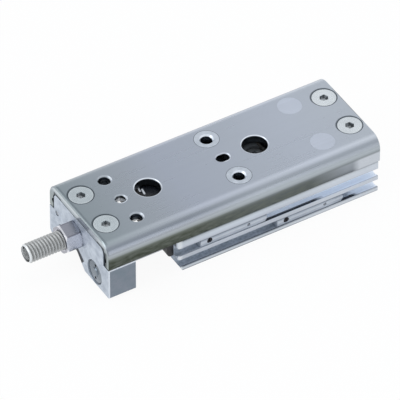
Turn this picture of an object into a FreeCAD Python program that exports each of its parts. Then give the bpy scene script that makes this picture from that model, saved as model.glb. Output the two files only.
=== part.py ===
import FreeCAD, Part
import math
import os

# Pneumatic slide table, in millimetres.
# +X is the direction in which the table extends, +Y is the side with the switch slots and
# +Z is up. The origin lies on the mounting face, on the centre line, near the middle of the
# table. At rest the table is drawn in.

V = FreeCAD.Vector

# Table: a steel channel, open downwards
table_length = 90.5
table_width = 33.5
table_height = 8.2
table_body_gap = 0.5
table_front_x = 45.0
table_top_thickness = 2.4
table_wall = 2.1
table_corner_radius = 4.2
table_edge_break = 0.3

# Body: an aluminium block with two bores and two switch slots
body_length = 67.2
body_side_inset = 0.35
body_height = 11.3
body_rear_inset = 0.5
body_edge_radius = 1.0
body_long_edge_break = 0.15
body_nose_height = 3.0
body_nose_depth = 1.6

# Motion
stroke = 20.0
end_overtravel = 0.7

# Guide: a steel block with a ball circuit on each side
rail_gap = 0.8
guide_top_gap = 0.5
guide_edge_break = 0.8
ball_diameter = 2.0
ball_clearance = 0.02
ball_passage_clearance = 0.06
ball_return_inset = 4.25
ball_pitch_gap = 0.05
front_cap_length = 5.6
rear_cap_length = 6.3
cap_inset = 0.25
wiper_thickness = 0.8
wiper_inset = 0.1
wiper_groove_clearance = 0.15
cap_screw_y = 6.0
cap_screw_bite = 3.0

# End plate
end_plate_thickness = 8.8
end_plate_bottom_z = 0.8
end_plate_side_inset = 0.05
end_plate_ledge_gap = 0.4
end_plate_neck_gap = 0.45
end_plate_neck_shift = 0.3
end_plate_near_chamfer = 0.3
end_plate_far_chamfer = 1.2
end_plate_edge_break = 0.3
end_plate_foot_break = 0.25
end_plate_neck_break = 0.35
notch_top_z = 5.2
notch_top_half_width = 0.6
small_hole_diameter = 1.8
small_hole_depth = 4.0
small_hole_y = -12.5
small_hole_drop = 0.3

# Rear block and its bumper
rear_block_length = 8.0
rear_block_inset = 0.3
rear_block_bottom_gap = 0.5
rear_block_side_gap = 1.25
bumper_diameter = 4.0
bumper_length = 2.6
bumper_proud = 0.6

# Cylinders
bore_diameter = 6.0
bore_side_distance = 7.9
bore_z = 4.8
counterbore_wall = 0.5
rod_diameter = 3.0
rod_collar_diameter = 5.0
rod_collar_length = 1.2
rod_stop_collar_diameter = 4.8
rod_stop_collar_length = 1.5
rod_end_proud = 0.3
rod_end_chamfer = 0.3
rod_hole_clearance = 0.1
running_clearance = 0.04
static_clearance = 0.02
rod_cover_length = 6.5
rod_cover_recess = 1.0
rod_seal_length = 2.0
rod_seal_thickness = 1.05
port_web = 0.4
passage_diameter = 1.6
head_plug_length = 14.6
head_plug_flange_length = 2.0
head_plug_ring_setback = 1.16
retaining_ring_thickness = 0.7
retaining_ring_bite = 0.3
retaining_ring_width = 1.2
retaining_ring_gap = 1.2
retaining_ring_setback = 0.1
piston_body_length = 4.0
piston_gap = 2.1
magnet_length = 2.6
magnet_spigot_diameter = 3.2
magnet_radial_gap = 0.1
o_ring_section = 0.58
seal_section = 0.76
piston_seal_shift = 0.38
groove_side_clearance = 0.3
rod_seat_diameter = 7.4
rod_seat_depth = 5.0
rod_washer_diameter = 6.4
rod_washer_thickness = 0.5
rod_nut_diameter = 7.0
rod_nut_thickness = 4.15
spanner_hole_diameter = 0.9
spanner_hole_depth = 1.4
spanner_hole_offset = 2.3

# Front plate, which holds the rod covers in and is the stop for the adjuster
front_plate_thickness = 2.2
front_plate_side_gap = 0.65
front_plate_bottom_z = 4.5
front_plate_top_gap = 0.1
front_plate_corner_radius = 0.5
front_plate_nose_radius = 2.1
front_plate_spigot_root = 0.1
front_plate_rod_gap = 0.4
front_plate_screw_inward = 3.0
front_plate_screw_rise = 3.8
front_plate_screw_bite = 3.6

# Stroke adjuster
adjuster_diameter = 6.0
adjuster_pitch = 1.0
adjuster_y = -2.0
adjuster_drop = 0.1
adjuster_reach = 16.4
adjuster_stop_gap = 0.1
adjuster_thread_depth = 0.54
adjuster_fit = 0.05
adjuster_end_chamfer = 0.5
adjuster_socket_flats = 3.0
adjuster_socket_depth = 3.5
tip_diameter = 3.2
tip_proud = 0.5
tip_length = 3.0
nut_flats = 8.0
nut_thickness = 5.0
nut_seat_gap = 0.05
nut_chamfer = 0.5
nut_turn = -15.0
nut_mouth_chamfer = 0.35

# Holes and screws in the table top
work_hole_y = 9.0
front_work_setback = 13.7
work_hole_spacing = 33.9
rear_plug_setback = 14.9
tapped_core_diameter = 3.3
tapped_mouth_break = 0.5
insert_diameter = 7.3
pin_diameter = 3.0
pin_slot_extra = 1.0
pin_mouth_break = 0.3
front_access_setback = 22.7
rear_access_setback = 3.2
access_diameter = 7.6
access_edge_break = 0.2
front_screw_setback = 4.8
rear_screw_setback = 4.5
flat_screw_y = 7.0
flat_head_diameter = 7.2
flat_head_rim_gap = 0.15
flat_head_sink = 0.1
screw_m4_diameter = 4.0
screw_m4_length = 6.0
screw_m4_socket = 2.5
screw_m4_socket_depth = 1.3
screw_hole_extra = 0.3

# Smaller screws: nominal diameter, head diameter, head height, socket flats
screw_m3 = (3.0, 5.4, 2.8, 2.5)
screw_m2 = (2.0, 3.6, 1.2, 1.3)
piston_screw = (1.6, 3.2, 1.2, 1.2)
head_clearance = 0.1
screw_socket_share = 0.6
guide_screw_bite = 4.5
guide_screw_front_margin = 3.5
guide_screw_rear_margin = 4.9
rear_guide_screw_sink = 1.0
piston_screw_bite = 3.0
piston_screw_hole_extra = 1.2

# Body mounting holes. With the table extended, the front one lies under the rear access hole
# and the rear one is behind the table.
mount_hole_diameter = 4.5
mount_hole_spacing = 40.0
mount_head_depth = 4.4

# Air ports on the far side of the body
port_core_diameter = 2.5
port_depth = 3.5
port_seat_diameter = 5.2
port_seat_depth = 0.2

# Switches and their slots
slot_opening = 2.8
slot_diameter = 3.8
slot_lip = 0.6
upper_slot_z = 7.2
lower_slot_z = 3.0
switch_length = 22.0
switch_clearance = 0.1
switch_recess = 0.25
switch_end_radius = 0.6
upper_switch_setback = 7.7
lower_switch_setback = 11.9
switch_screw_diameter = 1.8
switch_screw_depth = 1.6
switch_screw_setback = 3.0
switch_screw_slot = 0.35
switch_screw_slot_depth = 0.4
switch_dimple_diameter = 1.1
switch_dimple_depth = 0.3
switch_dimple_setback = 16.0

# Places that follow from the sizes above
table_rear_x = table_front_x - table_length
table_half = table_width / 2
table_skirt_z = body_height + table_body_gap
table_top_z = table_skirt_z + table_height
table_inner_half = table_half - table_wall
table_under_z = table_top_z - table_top_thickness
inner_corner_radius = table_corner_radius - table_wall

body_rear_x = table_rear_x + body_rear_inset
body_front_x = body_rear_x + body_length
body_half = table_half - body_side_inset

rear_block_rear_x = table_rear_x + rear_block_inset
rear_block_front_x = rear_block_rear_x + rear_block_length

guide_front_x = body_front_x + front_plate_thickness
guide_rear_x = rear_block_front_x + stroke + end_overtravel
steel_front_x = guide_front_x - wiper_thickness - front_cap_length
steel_rear_x = guide_rear_x + wiper_thickness + rear_cap_length
guide_top_z = table_under_z - guide_top_gap
guide_half = table_inner_half - rail_gap
ball_radius = ball_diameter / 2
ball_z = (body_height + guide_top_z) / 2
ball_load_y = table_inner_half - rail_gap / 2
ball_return_y = ball_load_y - ball_return_inset
ball_turn_y = (ball_load_y + ball_return_y) / 2
ball_turn_radius = ball_return_inset / 2

plate_rear_x = table_front_x - end_plate_thickness
plate_half = table_half - end_plate_side_inset
plate_ledge_z = table_skirt_z - end_plate_ledge_gap
plate_neck_half = table_inner_half - end_plate_neck_gap
adjuster_z = body_height - adjuster_drop
small_hole_z = adjuster_z - small_hole_drop

bore_offset_y = body_half - bore_side_distance
bore_radius = bore_diameter / 2
counterbore_radius = bore_radius + counterbore_wall
rod_radius = rod_diameter / 2
rod_cover_front_x = body_front_x - rod_cover_recess
rod_cover_rear_x = rod_cover_front_x - rod_cover_length
plug_rear_x = body_rear_x + retaining_ring_setback + retaining_ring_thickness
plug_front_x = plug_rear_x + head_plug_length
rear_port_x = plug_front_x + passage_diameter / 2 + port_web
front_port_x = rod_cover_rear_x - passage_diameter / 2 - port_web
piston_rear_x = plug_front_x + piston_gap
piston_front_x = piston_rear_x + piston_body_length
magnet_front_x = piston_front_x + magnet_length
rod_seat_x = table_front_x - rod_seat_depth
front_plate_screw_y = bore_offset_y - front_plate_screw_inward
front_plate_screw_z = bore_z + front_plate_screw_rise

front_work_x = table_front_x - front_work_setback
mid_work_x = front_work_x - work_hole_spacing
rear_plug_x = table_rear_x + rear_plug_setback
front_screw_x = table_front_x - front_screw_setback
rear_screw_x = table_rear_x + rear_screw_setback
front_access_x = table_front_x - front_access_setback
rear_access_x = guide_rear_x + rear_access_setback
front_mount_x = rear_access_x + stroke
mount_hole_xs = (front_mount_x, front_mount_x - mount_hole_spacing)
steel_screw_xs = (steel_rear_x + guide_screw_rear_margin, steel_front_x - guide_screw_front_margin)
guide_screw_seat_z = guide_top_z - screw_m3[2] - head_clearance
rear_screw_seat_z = guide_screw_seat_z - rear_guide_screw_sink
adjuster_radius = adjuster_diameter / 2
adjuster_tail_x = guide_front_x + adjuster_stop_gap + tip_proud
slot_radius = slot_diameter / 2
upper_switch_front_x = body_front_x - upper_switch_setback
lower_switch_front_x = body_rear_x + lower_switch_setback + switch_length
slot_centre_y = body_half - slot_lip - math.sqrt(slot_radius ** 2 - (slot_opening / 2) ** 2)
through = 1.0
same_place = 0.01


# Shape helpers

def box(x0, x1, y0, y1, z0, z1):
    return Part.makeBox(x1 - x0, y1 - y0, z1 - z0, V(x0, y0, z0))


def rod_x(x0, x1, y, z, radius):
    return Part.makeCylinder(radius, x1 - x0, V(x0, y, z), V(1, 0, 0))


def rod_y(y0, y1, x, z, radius):
    return Part.makeCylinder(radius, y1 - y0, V(x, y0, z), V(0, 1, 0))


def rod_z(z0, z1, x, y, radius):
    return Part.makeCylinder(radius, z1 - z0, V(x, y, z0), V(0, 0, 1))


def cone_x(x0, x1, y, z, radius0, radius1):
    return Part.makeCone(radius0, radius1, x1 - x0, V(x0, y, z), V(1, 0, 0))


def cone_z(z0, z1, x, y, radius0, radius1):
    return Part.makeCone(radius0, radius1, z1 - z0, V(x, y, z0), V(0, 0, 1))


def ring_x(x0, x1, y, z, outer, inner):
    return rod_x(x0, x1, y, z, outer).cut(rod_x(x0 - through, x1 + through, y, z, inner))


def torus_x(x, y, z, centre_radius, section_radius):
    return Part.makeTorus(centre_radius, section_radius, V(x, y, z), V(1, 0, 0))


def hexagon_corner(flats):
    """From the centre of a hexagon to its corners."""
    return flats / math.sqrt(3)


def hexagon(flats, point_at):
    """A hexagonal face whose corners are given by point_at(across, up)."""
    corner = hexagon_corner(flats)
    angles = [math.radians(60 * i) for i in range(6)]
    points = [point_at(corner * math.cos(a), corner * math.sin(a)) for a in angles]
    return Part.Face(Part.makePolygon(points + points[:1]))


def hex_x(x0, x1, y, z, flats):
    """A hexagonal bar along X with one flat facing up."""
    face = hexagon(flats, lambda across, up: V(x0, y + across, z + up))
    return face.extrude(V(x1 - x0, 0, 0))


def hex_z(z0, z1, x, y, flats):
    face = hexagon(flats, lambda across, up: V(x + across, y + up, z0))
    return face.extrude(V(0, 0, z1 - z0))


def join(shapes):
    return shapes[0].multiFuse(shapes[1:]).removeSplitter()


def carve(shape, tools):
    return shape.cut(Part.makeCompound(tools))


def near_and_far(shape):
    """The shape and its mirror image across the centre plane."""
    return [shape, shape.mirror(V(0, 0, 0), V(0, 1, 0))]


def edges_along_x(shape, places):
    """Edges that run along X through any of the (y, z) places."""
    found = []
    for edge in shape.Edges:
        ends = [v.Point for v in edge.Vertexes]
        if len(ends) < 2 or abs(ends[0].x - ends[1].x) < same_place:
            continue
        for y, z in places:
            if all(math.hypot(p.y - y, p.z - z) < same_place for p in ends):
                found.append(edge)
    return found


def arch_bar(x0, x1, half, z0, z1, radius):
    """A bar along X whose two upper edges are rounded."""
    bar = box(x0, x1, -half, half, z0, z1)
    return bar.makeFillet(radius, edges_along_x(bar, [(half, z1), (-half, z1)]))


def rounded_mouth_z(x, y, radius, edge_break):
    """The chamfer at the top of a hole in the table."""
    return cone_z(table_top_z - edge_break, table_top_z, x, y, radius, radius + edge_break)


def socket_screw_z(x, y, seat_z, length, sizes):
    """A socket head screw standing on seat_z, with its shank pointing down."""
    diameter, head, height, flats = sizes
    screw = join([rod_z(seat_z - length, seat_z, x, y, diameter / 2),
                  rod_z(seat_z, seat_z + height, x, y, head / 2)])
    depth = height * screw_socket_share
    return screw.cut(hex_z(seat_z + height - depth, seat_z + height + through, x, y, flats))


def socket_screw_x(seat_x, length, y, z, sizes, facing):
    """A socket head screw along X. Its head is on the side that facing (1 or -1) gives."""
    diameter, head, height, flats = sizes
    tip_x = seat_x - facing * length
    top_x = seat_x + facing * height
    socket_x = top_x - facing * height * screw_socket_share
    screw = join([rod_x(min(tip_x, seat_x), max(tip_x, seat_x), y, z, diameter / 2),
                  rod_x(min(seat_x, top_x), max(seat_x, top_x), y, z, head / 2)])
    beyond_x = top_x + facing * through
    return screw.cut(hex_x(min(socket_x, beyond_x), max(socket_x, beyond_x), y, z, flats))


# Table and what is fixed in its top

def flat_head_profile():
    """Radius at the top of the countersink, and the depth of its cone."""
    rim = flat_head_diameter / 2 + flat_head_rim_gap
    hole = (screw_m4_diameter + screw_hole_extra) / 2
    return rim, hole, flat_head_sink + rim - hole


def countersunk_hole(x, y):
    rim, hole, depth = flat_head_profile()
    top = rod_z(table_top_z - flat_head_sink, table_top_z + through, x, y, rim)
    cone = cone_z(table_top_z - depth, table_top_z - flat_head_sink, x, y, hole, rim)
    return [top, cone, rod_z(table_under_z - through, table_top_z, x, y, hole)]


def flat_screw(x, y):
    """A countersunk M4 screw, its head just below the table top."""
    top_z = table_top_z - flat_head_sink
    shank = screw_m4_diameter / 2
    head = flat_head_diameter / 2
    rim_z = top_z - flat_head_rim_gap
    cone_low_z = rim_z - (head - shank)
    parts = [rod_z(rim_z, top_z, x, y, head),
             cone_z(cone_low_z, rim_z, x, y, shank, head),
             rod_z(top_z - screw_m4_length, cone_low_z, x, y, shank)]
    socket = hex_z(top_z - screw_m4_socket_depth, top_z + through, x, y, screw_m4_socket)
    return join(parts).cut(socket)


def flat_screws(x):
    return Part.makeCompound([flat_screw(x, y) for y in (flat_screw_y, -flat_screw_y)])


def tapped_hole(x, y):
    core = tapped_core_diameter / 2
    return [rod_z(table_under_z - through, table_top_z + through, x, y, core),
            rounded_mouth_z(x, y, core, tapped_mouth_break)]


def pin_slot(x):
    """A short slot along X, one pin wide, with a broken edge at the top."""
    radius = pin_diameter / 2
    half = pin_slot_extra / 2
    low = table_under_z - through
    tools = [rod_z(low, table_top_z + through, x + end, 0, radius) for end in (-half, half)]
    tools.append(box(x - half, x + half, -radius, radius, low, table_top_z + through))
    tools += [rounded_mouth_z(x + end, 0, radius, pin_mouth_break) for end in (-half, half)]
    return tools


def table_holes():
    tools = []
    for y in (work_hole_y, -work_hole_y):
        tools += tapped_hole(front_work_x, y)
        for x in (mid_work_x, rear_plug_x):
            seat = insert_diameter / 2 + static_clearance
            tools.append(rod_z(table_under_z - through, table_top_z + through, x, y, seat))
    for y in (flat_screw_y, -flat_screw_y):
        tools += countersunk_hole(front_screw_x, y)
        tools += countersunk_hole(rear_screw_x, y)
    for x in (front_access_x, rear_access_x):
        radius = access_diameter / 2
        tools.append(rod_z(table_under_z - through, table_top_z + through, x, 0, radius))
        tools.append(rounded_mouth_z(x, 0, radius, access_edge_break))
    pin = pin_diameter / 2
    tools.append(rod_z(table_under_z - through, table_top_z + through, front_work_x, 0, pin))
    tools.append(rounded_mouth_z(front_work_x, 0, pin, pin_mouth_break))
    return tools + pin_slot(mid_work_x)


def table():
    outer = arch_bar(table_rear_x, table_front_x, table_half, table_skirt_z, table_top_z,
                     table_corner_radius)
    end_edges = []
    for edge in outer.Edges:
        ends = [v.Point for v in edge.Vertexes]
        in_end = abs(ends[0].x - ends[-1].x) < same_place
        on_skirt = all(abs(p.z - table_skirt_z) < same_place for p in ends)
        if in_end and not on_skirt:
            end_edges.append(edge)
    outer = outer.makeChamfer(table_edge_break, end_edges)
    inner = arch_bar(table_rear_x - through, table_front_x + through, table_inner_half,
                     table_skirt_z - through, table_under_z, inner_corner_radius)
    track = ball_radius + ball_clearance
    grooves = near_and_far(rod_x(table_rear_x - through, table_front_x + through,
                                 ball_load_y, ball_z, track))
    return carve(outer, [inner] + grooves + table_holes())


def table_inserts():
    """Flush discs with a tapped hole, pressed into the table."""
    inserts = []
    for y in (work_hole_y, -work_hole_y):
        disc = rod_z(table_under_z, table_top_z, mid_work_x, y, insert_diameter / 2)
        inserts.append(carve(disc, tapped_hole(mid_work_x, y)))
    return Part.makeCompound(inserts)


def table_plugs():
    return Part.makeCompound([rod_z(table_under_z, table_top_z, rear_plug_x, y,
                                    insert_diameter / 2) for y in (work_hole_y, -work_hole_y)])


# End plate

def end_plate_block():
    """Full width under the skirts, narrower inside the channel and nearer to its far side."""
    foot = box(plate_rear_x, table_front_x, -plate_half, plate_half,
               end_plate_bottom_z, plate_ledge_z)
    for y, chamfer in ((plate_half, end_plate_near_chamfer), (-plate_half, end_plate_far_chamfer)):
        foot = foot.makeChamfer(chamfer, edges_along_x(foot, [(y, end_plate_bottom_z)]))
    ledges = edges_along_x(foot, [(plate_half, plate_ledge_z), (-plate_half, plate_ledge_z)])
    foot = foot.makeChamfer(end_plate_foot_break, ledges)
    neck = arch_bar(plate_rear_x, table_front_x, plate_neck_half, plate_ledge_z - through,
                    table_under_z, inner_corner_radius)
    outline = [e for e in neck.Edges
               if all(abs(v.Point.x - table_front_x) < same_place for v in e.Vertexes)
               and e.BoundBox.ZMax > plate_ledge_z]
    neck = neck.makeChamfer(end_plate_neck_break, outline)
    neck.translate(V(0, -end_plate_neck_shift, 0))
    return join([foot, neck])


def end_plate_notch():
    """The V shaped notch in the bottom edge, under the adjuster."""
    depth = notch_top_z - end_plate_bottom_z + through
    wide = notch_top_half_width + depth
    low = notch_top_z - depth
    points = [V(plate_rear_x - through, adjuster_y - wide, low),
              V(plate_rear_x - through, adjuster_y - notch_top_half_width, notch_top_z),
              V(plate_rear_x - through, adjuster_y + notch_top_half_width, notch_top_z),
              V(plate_rear_x - through, adjuster_y + wide, low)]
    face = Part.Face(Part.makePolygon(points + points[:1]))
    return face.extrude(V(end_plate_thickness + 2 * through, 0, 0))


def end_plate():
    tools = [end_plate_notch()]
    tools.append(rod_x(plate_rear_x - through, table_front_x + through, adjuster_y, adjuster_z,
                       adjuster_radius))
    tools.append(rod_x(table_front_x - small_hole_depth, table_front_x + through,
                       small_hole_y, small_hole_z, small_hole_diameter / 2))
    for y in (bore_offset_y, -bore_offset_y):
        tools.append(rod_x(plate_rear_x - through, rod_seat_x, y, bore_z,
                           rod_radius + rod_hole_clearance))
        seat = rod_seat_diameter / 2
        tools.append(rod_x(rod_seat_x, table_front_x + through, y, bore_z, seat))
        tools.append(cone_x(table_front_x - end_plate_edge_break, table_front_x, y, bore_z,
                            seat, seat + end_plate_edge_break))
    shank_low = table_top_z - flat_head_sink - screw_m4_length
    for y in (flat_screw_y, -flat_screw_y):
        tools.append(rod_z(shank_low - screw_hole_extra, table_top_z, front_screw_x, y,
                           screw_m4_diameter / 2 + static_clearance))
    return carve(end_plate_block(), tools)


# Rear block under the rear end of the table

def rear_block():
    low = body_height + rear_block_bottom_gap
    half = table_inner_half - rear_block_side_gap
    block = arch_bar(rear_block_rear_x, rear_block_front_x, half, low, table_under_z,
                     inner_corner_radius)
    tools = []
    for y in (flat_screw_y, -flat_screw_y):
        tools.append(rod_z(low - through, table_top_z, rear_screw_x, y,
                           screw_m4_diameter / 2 + static_clearance))
    tools.append(rod_x(rear_block_front_x + bumper_proud - bumper_length,
                       rear_block_front_x + through, 0, ball_z,
                       bumper_diameter / 2 + static_clearance))
    return carve(block, tools)


def rear_bumper():
    front = rear_block_front_x + bumper_proud
    return rod_x(front - bumper_length, front, 0, ball_z, bumper_diameter / 2)


# Body

def switch_slot(z):
    """A round slot along the whole side, open through a narrower mouth."""
    return [rod_x(body_rear_x - through, body_front_x + through, slot_centre_y, z, slot_radius),
            box(body_rear_x - through, body_front_x + through, slot_centre_y, body_half + through,
                z - slot_opening / 2, z + slot_opening / 2)]


def body_block():
    """The outer block: rounded front corners, and a slanted nose under the front edge."""
    block = box(body_rear_x, body_front_x, -body_half, body_half, 0, body_height)
    uprights = [e for e in block.Edges
                if all(abs(v.Point.x - body_front_x) < same_place for v in e.Vertexes)
                and abs(e.Vertexes[0].Point.y - e.Vertexes[1].Point.y) < same_place]
    block = block.makeFillet(body_edge_radius, uprights)
    long_edges = []
    for edge in block.Edges:
        ends = [v.Point for v in edge.Vertexes]
        along = len(ends) == 2 and abs(ends[0].x - ends[1].x) > body_length / 2
        if along:
            long_edges.append(edge)
    block = block.makeChamfer(body_long_edge_break, long_edges)
    nose = [V(body_front_x - body_nose_depth, -body_half - through, 0),
            V(body_front_x, -body_half - through, body_nose_height),
            V(body_front_x + through, -body_half - through, body_nose_height),
            V(body_front_x + through, -body_half - through, -through),
            V(body_front_x - body_nose_depth, -body_half - through, -through)]
    face = Part.Face(Part.makePolygon(nose + nose[:1]))
    return block.cut(face.extrude(V(0, 2 * (body_half + through), 0)))


def cylinder_hollows(y):
    """One bore with a wider seat at each end and a groove for the retaining ring."""
    plug_seat_x = plug_rear_x + head_plug_flange_length
    groove = counterbore_radius + retaining_ring_bite
    return [rod_x(plug_seat_x - through, rod_cover_rear_x + through, y, bore_z, bore_radius),
            rod_x(body_rear_x - through, plug_seat_x, y, bore_z, counterbore_radius),
            rod_x(plug_rear_x - retaining_ring_thickness, plug_rear_x, y, bore_z, groove),
            rod_x(rod_cover_rear_x, body_front_x + through, y, bore_z, counterbore_radius)]


def air_passage(x):
    """A port on the far side, drilled on across both bores."""
    return [rod_y(-body_half - through, bore_offset_y, x, bore_z, passage_diameter / 2),
            rod_y(-body_half - through, -body_half + port_depth, x, bore_z,
                  port_core_diameter / 2),
            rod_y(-body_half - through, -body_half + port_seat_depth, x, bore_z,
                  port_seat_diameter / 2)]


def mount_hollow(x):
    return [rod_z(-through, body_height + through, x, 0, mount_hole_diameter / 2),
            rod_z(body_height - mount_head_depth, body_height + through, x, 0,
                  access_diameter / 2)]


def cylinder_body():
    tools = switch_slot(upper_slot_z) + switch_slot(lower_slot_z)
    for y in (bore_offset_y, -bore_offset_y):
        tools += cylinder_hollows(y)
    for x in (rear_port_x, front_port_x):
        tools += air_passage(x)
    for x in mount_hole_xs:
        tools += mount_hollow(x)
    for x in (rear_access_x,) + steel_screw_xs:
        tools.append(rod_z(body_height - guide_screw_bite - through, body_height + through, x, 0,
                           screw_m3[0] / 2 + static_clearance))
    for y in (front_plate_screw_y, -front_plate_screw_y):
        tools.append(rod_x(body_front_x - front_plate_screw_bite - through,
                           body_front_x + through, y, front_plate_screw_z,
                           screw_m2[0] / 2 + static_clearance))
    return carve(body_block(), tools)


# Front plate

def front_plate_blank(top):
    """A slab with small rounded corners below and a well rounded lower front edge."""
    half = table_inner_half - front_plate_side_gap
    slab = box(body_front_x, guide_front_x, -half, half, front_plate_bottom_z, top)
    corners = [(half, front_plate_bottom_z), (-half, front_plate_bottom_z)]
    slab = slab.makeFillet(front_plate_corner_radius, edges_along_x(slab, corners))
    nose = box(body_front_x, guide_front_x, -table_half, table_half, front_plate_bottom_z, top)
    lower_front = [e for e in nose.Edges
                   if all(abs(v.Point.x - guide_front_x) < same_place
                          and abs(v.Point.z - front_plate_bottom_z) < same_place
                          for v in e.Vertexes)]
    return slab.common(nose.makeFillet(front_plate_nose_radius, lower_front))


def front_plate():
    top = body_height - front_plate_top_gap
    parts = [front_plate_blank(top)]
    tools = []
    for y in (bore_offset_y, -bore_offset_y):
        spigot = rod_x(rod_cover_front_x + static_clearance, body_front_x + through, y, bore_z,
                       counterbore_radius - static_clearance)
        keep = box(rod_cover_front_x, body_front_x + front_plate_spigot_root,
                   y - counterbore_radius, y + counterbore_radius, front_plate_bottom_z, top)
        parts.append(spigot.common(keep))
        opening = rod_radius + front_plate_rod_gap
        tools.append(rod_x(rod_cover_front_x - through, guide_front_x + through, y, bore_z,
                           opening))
        tools.append(box(rod_cover_front_x - through, guide_front_x + through, y - opening,
                         y + opening, front_plate_bottom_z - through, bore_z))
    head_seat_x = guide_front_x - screw_m2[2] - head_clearance
    for y in (front_plate_screw_y, -front_plate_screw_y):
        tools.append(rod_x(body_front_x - through, guide_front_x + through, y,
                           front_plate_screw_z, screw_m2[0] / 2 + head_clearance))
        tools.append(rod_x(head_seat_x, guide_front_x + through, y, front_plate_screw_z,
                           screw_m2[1] / 2 + head_clearance))
    return carve(join(parts), tools)


def front_plate_screws():
    seat_x = guide_front_x - screw_m2[2] - head_clearance
    length = seat_x - body_front_x + front_plate_screw_bite
    return Part.makeCompound([socket_screw_x(seat_x, length, y, front_plate_screw_z, screw_m2, 1)
                              for y in (front_plate_screw_y, -front_plate_screw_y)])


# Guide

def guide_profile(x0, x1, inset):
    """A bar with chamfered upper edges, inset from the outline of the guide block."""
    half = guide_half - inset
    top = guide_top_z - inset
    bar = box(x0, x1, -half, half, body_height, top)
    return bar.makeChamfer(guide_edge_break, edges_along_x(bar, [(half, top), (-half, top)]))


def guide_screw_hole(x, seat_z):
    return [rod_z(body_height - through, guide_top_z + through, x, 0,
                  screw_m3[0] / 2 + head_clearance),
            rod_z(seat_z, guide_top_z + through, x, 0, screw_m3[1] / 2 + head_clearance)]


def guide_block():
    block = guide_profile(steel_rear_x, steel_front_x, 0)
    track = ball_radius + ball_clearance
    passage = ball_radius + ball_passage_clearance
    tools = [rod_z(body_height - through, guide_top_z + through, front_mount_x, 0,
                   access_diameter / 2)]
    tools += near_and_far(rod_x(steel_rear_x - through, steel_front_x + through, ball_load_y,
                                ball_z, track))
    tools += near_and_far(rod_x(steel_rear_x - through, steel_front_x + through, ball_return_y,
                                ball_z, passage))
    for x in steel_screw_xs:
        tools += guide_screw_hole(x, guide_screw_seat_z)
    screw = screw_m2[0] / 2 + static_clearance
    for y in (cap_screw_y, -cap_screw_y):
        tools.append(rod_x(steel_rear_x - through, steel_rear_x + cap_screw_bite + through,
                           y, ball_z, screw))
        tools.append(rod_x(steel_front_x - cap_screw_bite - through, steel_front_x + through,
                           y, ball_z, screw))
    return carve(block, tools)


def guide_screw(x, seat_z):
    return socket_screw_z(x, 0, seat_z, seat_z - body_height + guide_screw_bite, screw_m3)


def guide_block_screws():
    """Two screws hold the steel block, and one holds the rear cap, under the access hole."""
    screws = [guide_screw(x, guide_screw_seat_z) for x in steel_screw_xs]
    return Part.makeCompound(screws + [guide_screw(rear_access_x, rear_screw_seat_z)])


def turn_passage(x):
    """The curved ball passage that joins the loaded row to the return row."""
    passage = ball_radius + ball_passage_clearance
    return near_and_far(Part.makeTorus(ball_turn_radius, passage, V(x, ball_turn_y, ball_z),
                                       V(0, 0, 1)))


def cap_screw_holes(x0, x1):
    return [rod_x(x0 - through, x1 + through, y, ball_z, screw_m2[0] / 2 + head_clearance)
            for y in (cap_screw_y, -cap_screw_y)]


def front_return_cap():
    end_x = guide_front_x - wiper_thickness
    cap = guide_profile(steel_front_x, end_x, cap_inset)
    return carve(cap, turn_passage(steel_front_x) + cap_screw_holes(steel_front_x, end_x))


def rear_return_cap():
    end_x = guide_rear_x + wiper_thickness
    cap = guide_profile(end_x, steel_rear_x, cap_inset)
    tools = turn_passage(steel_rear_x) + cap_screw_holes(end_x, steel_rear_x)
    return carve(cap, tools + guide_screw_hole(rear_access_x, rear_screw_seat_z))


def wiper(x0, x1):
    """A thin plate with lips that reach towards the ball grooves of the table."""
    plate = guide_profile(x0, x1, wiper_inset)
    lip_radius = ball_radius - wiper_groove_clearance
    lips = near_and_far(rod_x(x0, x1, ball_load_y, ball_z, lip_radius))
    return carve(join([plate] + lips), cap_screw_holes(x0, x1))


def front_wiper():
    return wiper(guide_front_x - wiper_thickness, guide_front_x)


def rear_wiper():
    """It is scalloped for the head of the screw under the rear access hole."""
    plate = wiper(guide_rear_x, guide_rear_x + wiper_thickness)
    return carve(plate, guide_screw_hole(rear_access_x, rear_screw_seat_z))


def return_cap_screws():
    """Two screws at each end, through the wiper and the cap into the steel block."""
    screws = []
    for y in (cap_screw_y, -cap_screw_y):
        screws.append(cap_screw(guide_front_x, steel_front_x, y, 1))
        screws.append(cap_screw(guide_rear_x, steel_rear_x, y, -1))
    return Part.makeCompound(screws)


def cap_screw(outer_x, steel_x, y, facing):
    """A headless set screw that runs from the wiper's outer face into the steel block."""
    inner_x = steel_x - facing * cap_screw_bite
    low, high = sorted((inner_x, outer_x))
    socket_x = outer_x - facing * screw_m2[2]
    socket_low, socket_high = sorted((socket_x, outer_x + facing * through))
    pin = rod_x(low, high, y, ball_z, screw_m2[0] / 2)
    return pin.cut(hex_x(socket_low, socket_high, y, ball_z, screw_m2[3]))


def circuit_point(distance, straight):
    """A point on the near ball circuit, measured along its centre line."""
    turn = math.pi * ball_turn_radius
    if distance < straight:
        return V(steel_rear_x + distance, ball_load_y, ball_z)
    distance -= straight
    if distance < turn:
        angle = distance / ball_turn_radius
        return V(steel_front_x + ball_turn_radius * math.sin(angle),
                 ball_turn_y + ball_turn_radius * math.cos(angle), ball_z)
    distance -= turn
    if distance < straight:
        return V(steel_front_x - distance, ball_return_y, ball_z)
    angle = (distance - straight) / ball_turn_radius
    return V(steel_rear_x - ball_turn_radius * math.sin(angle),
             ball_turn_y - ball_turn_radius * math.cos(angle), ball_z)


def near_balls():
    straight = steel_front_x - steel_rear_x
    circuit = 2 * straight + 2 * math.pi * ball_turn_radius
    count = int(circuit / (ball_diameter + ball_pitch_gap))
    places = [circuit_point(circuit * i / count, straight) for i in range(count)]
    return Part.makeCompound([Part.makeSphere(ball_radius, place) for place in places])


def far_balls():
    return near_balls().mirror(V(0, 0, 0), V(0, 1, 0))


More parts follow.
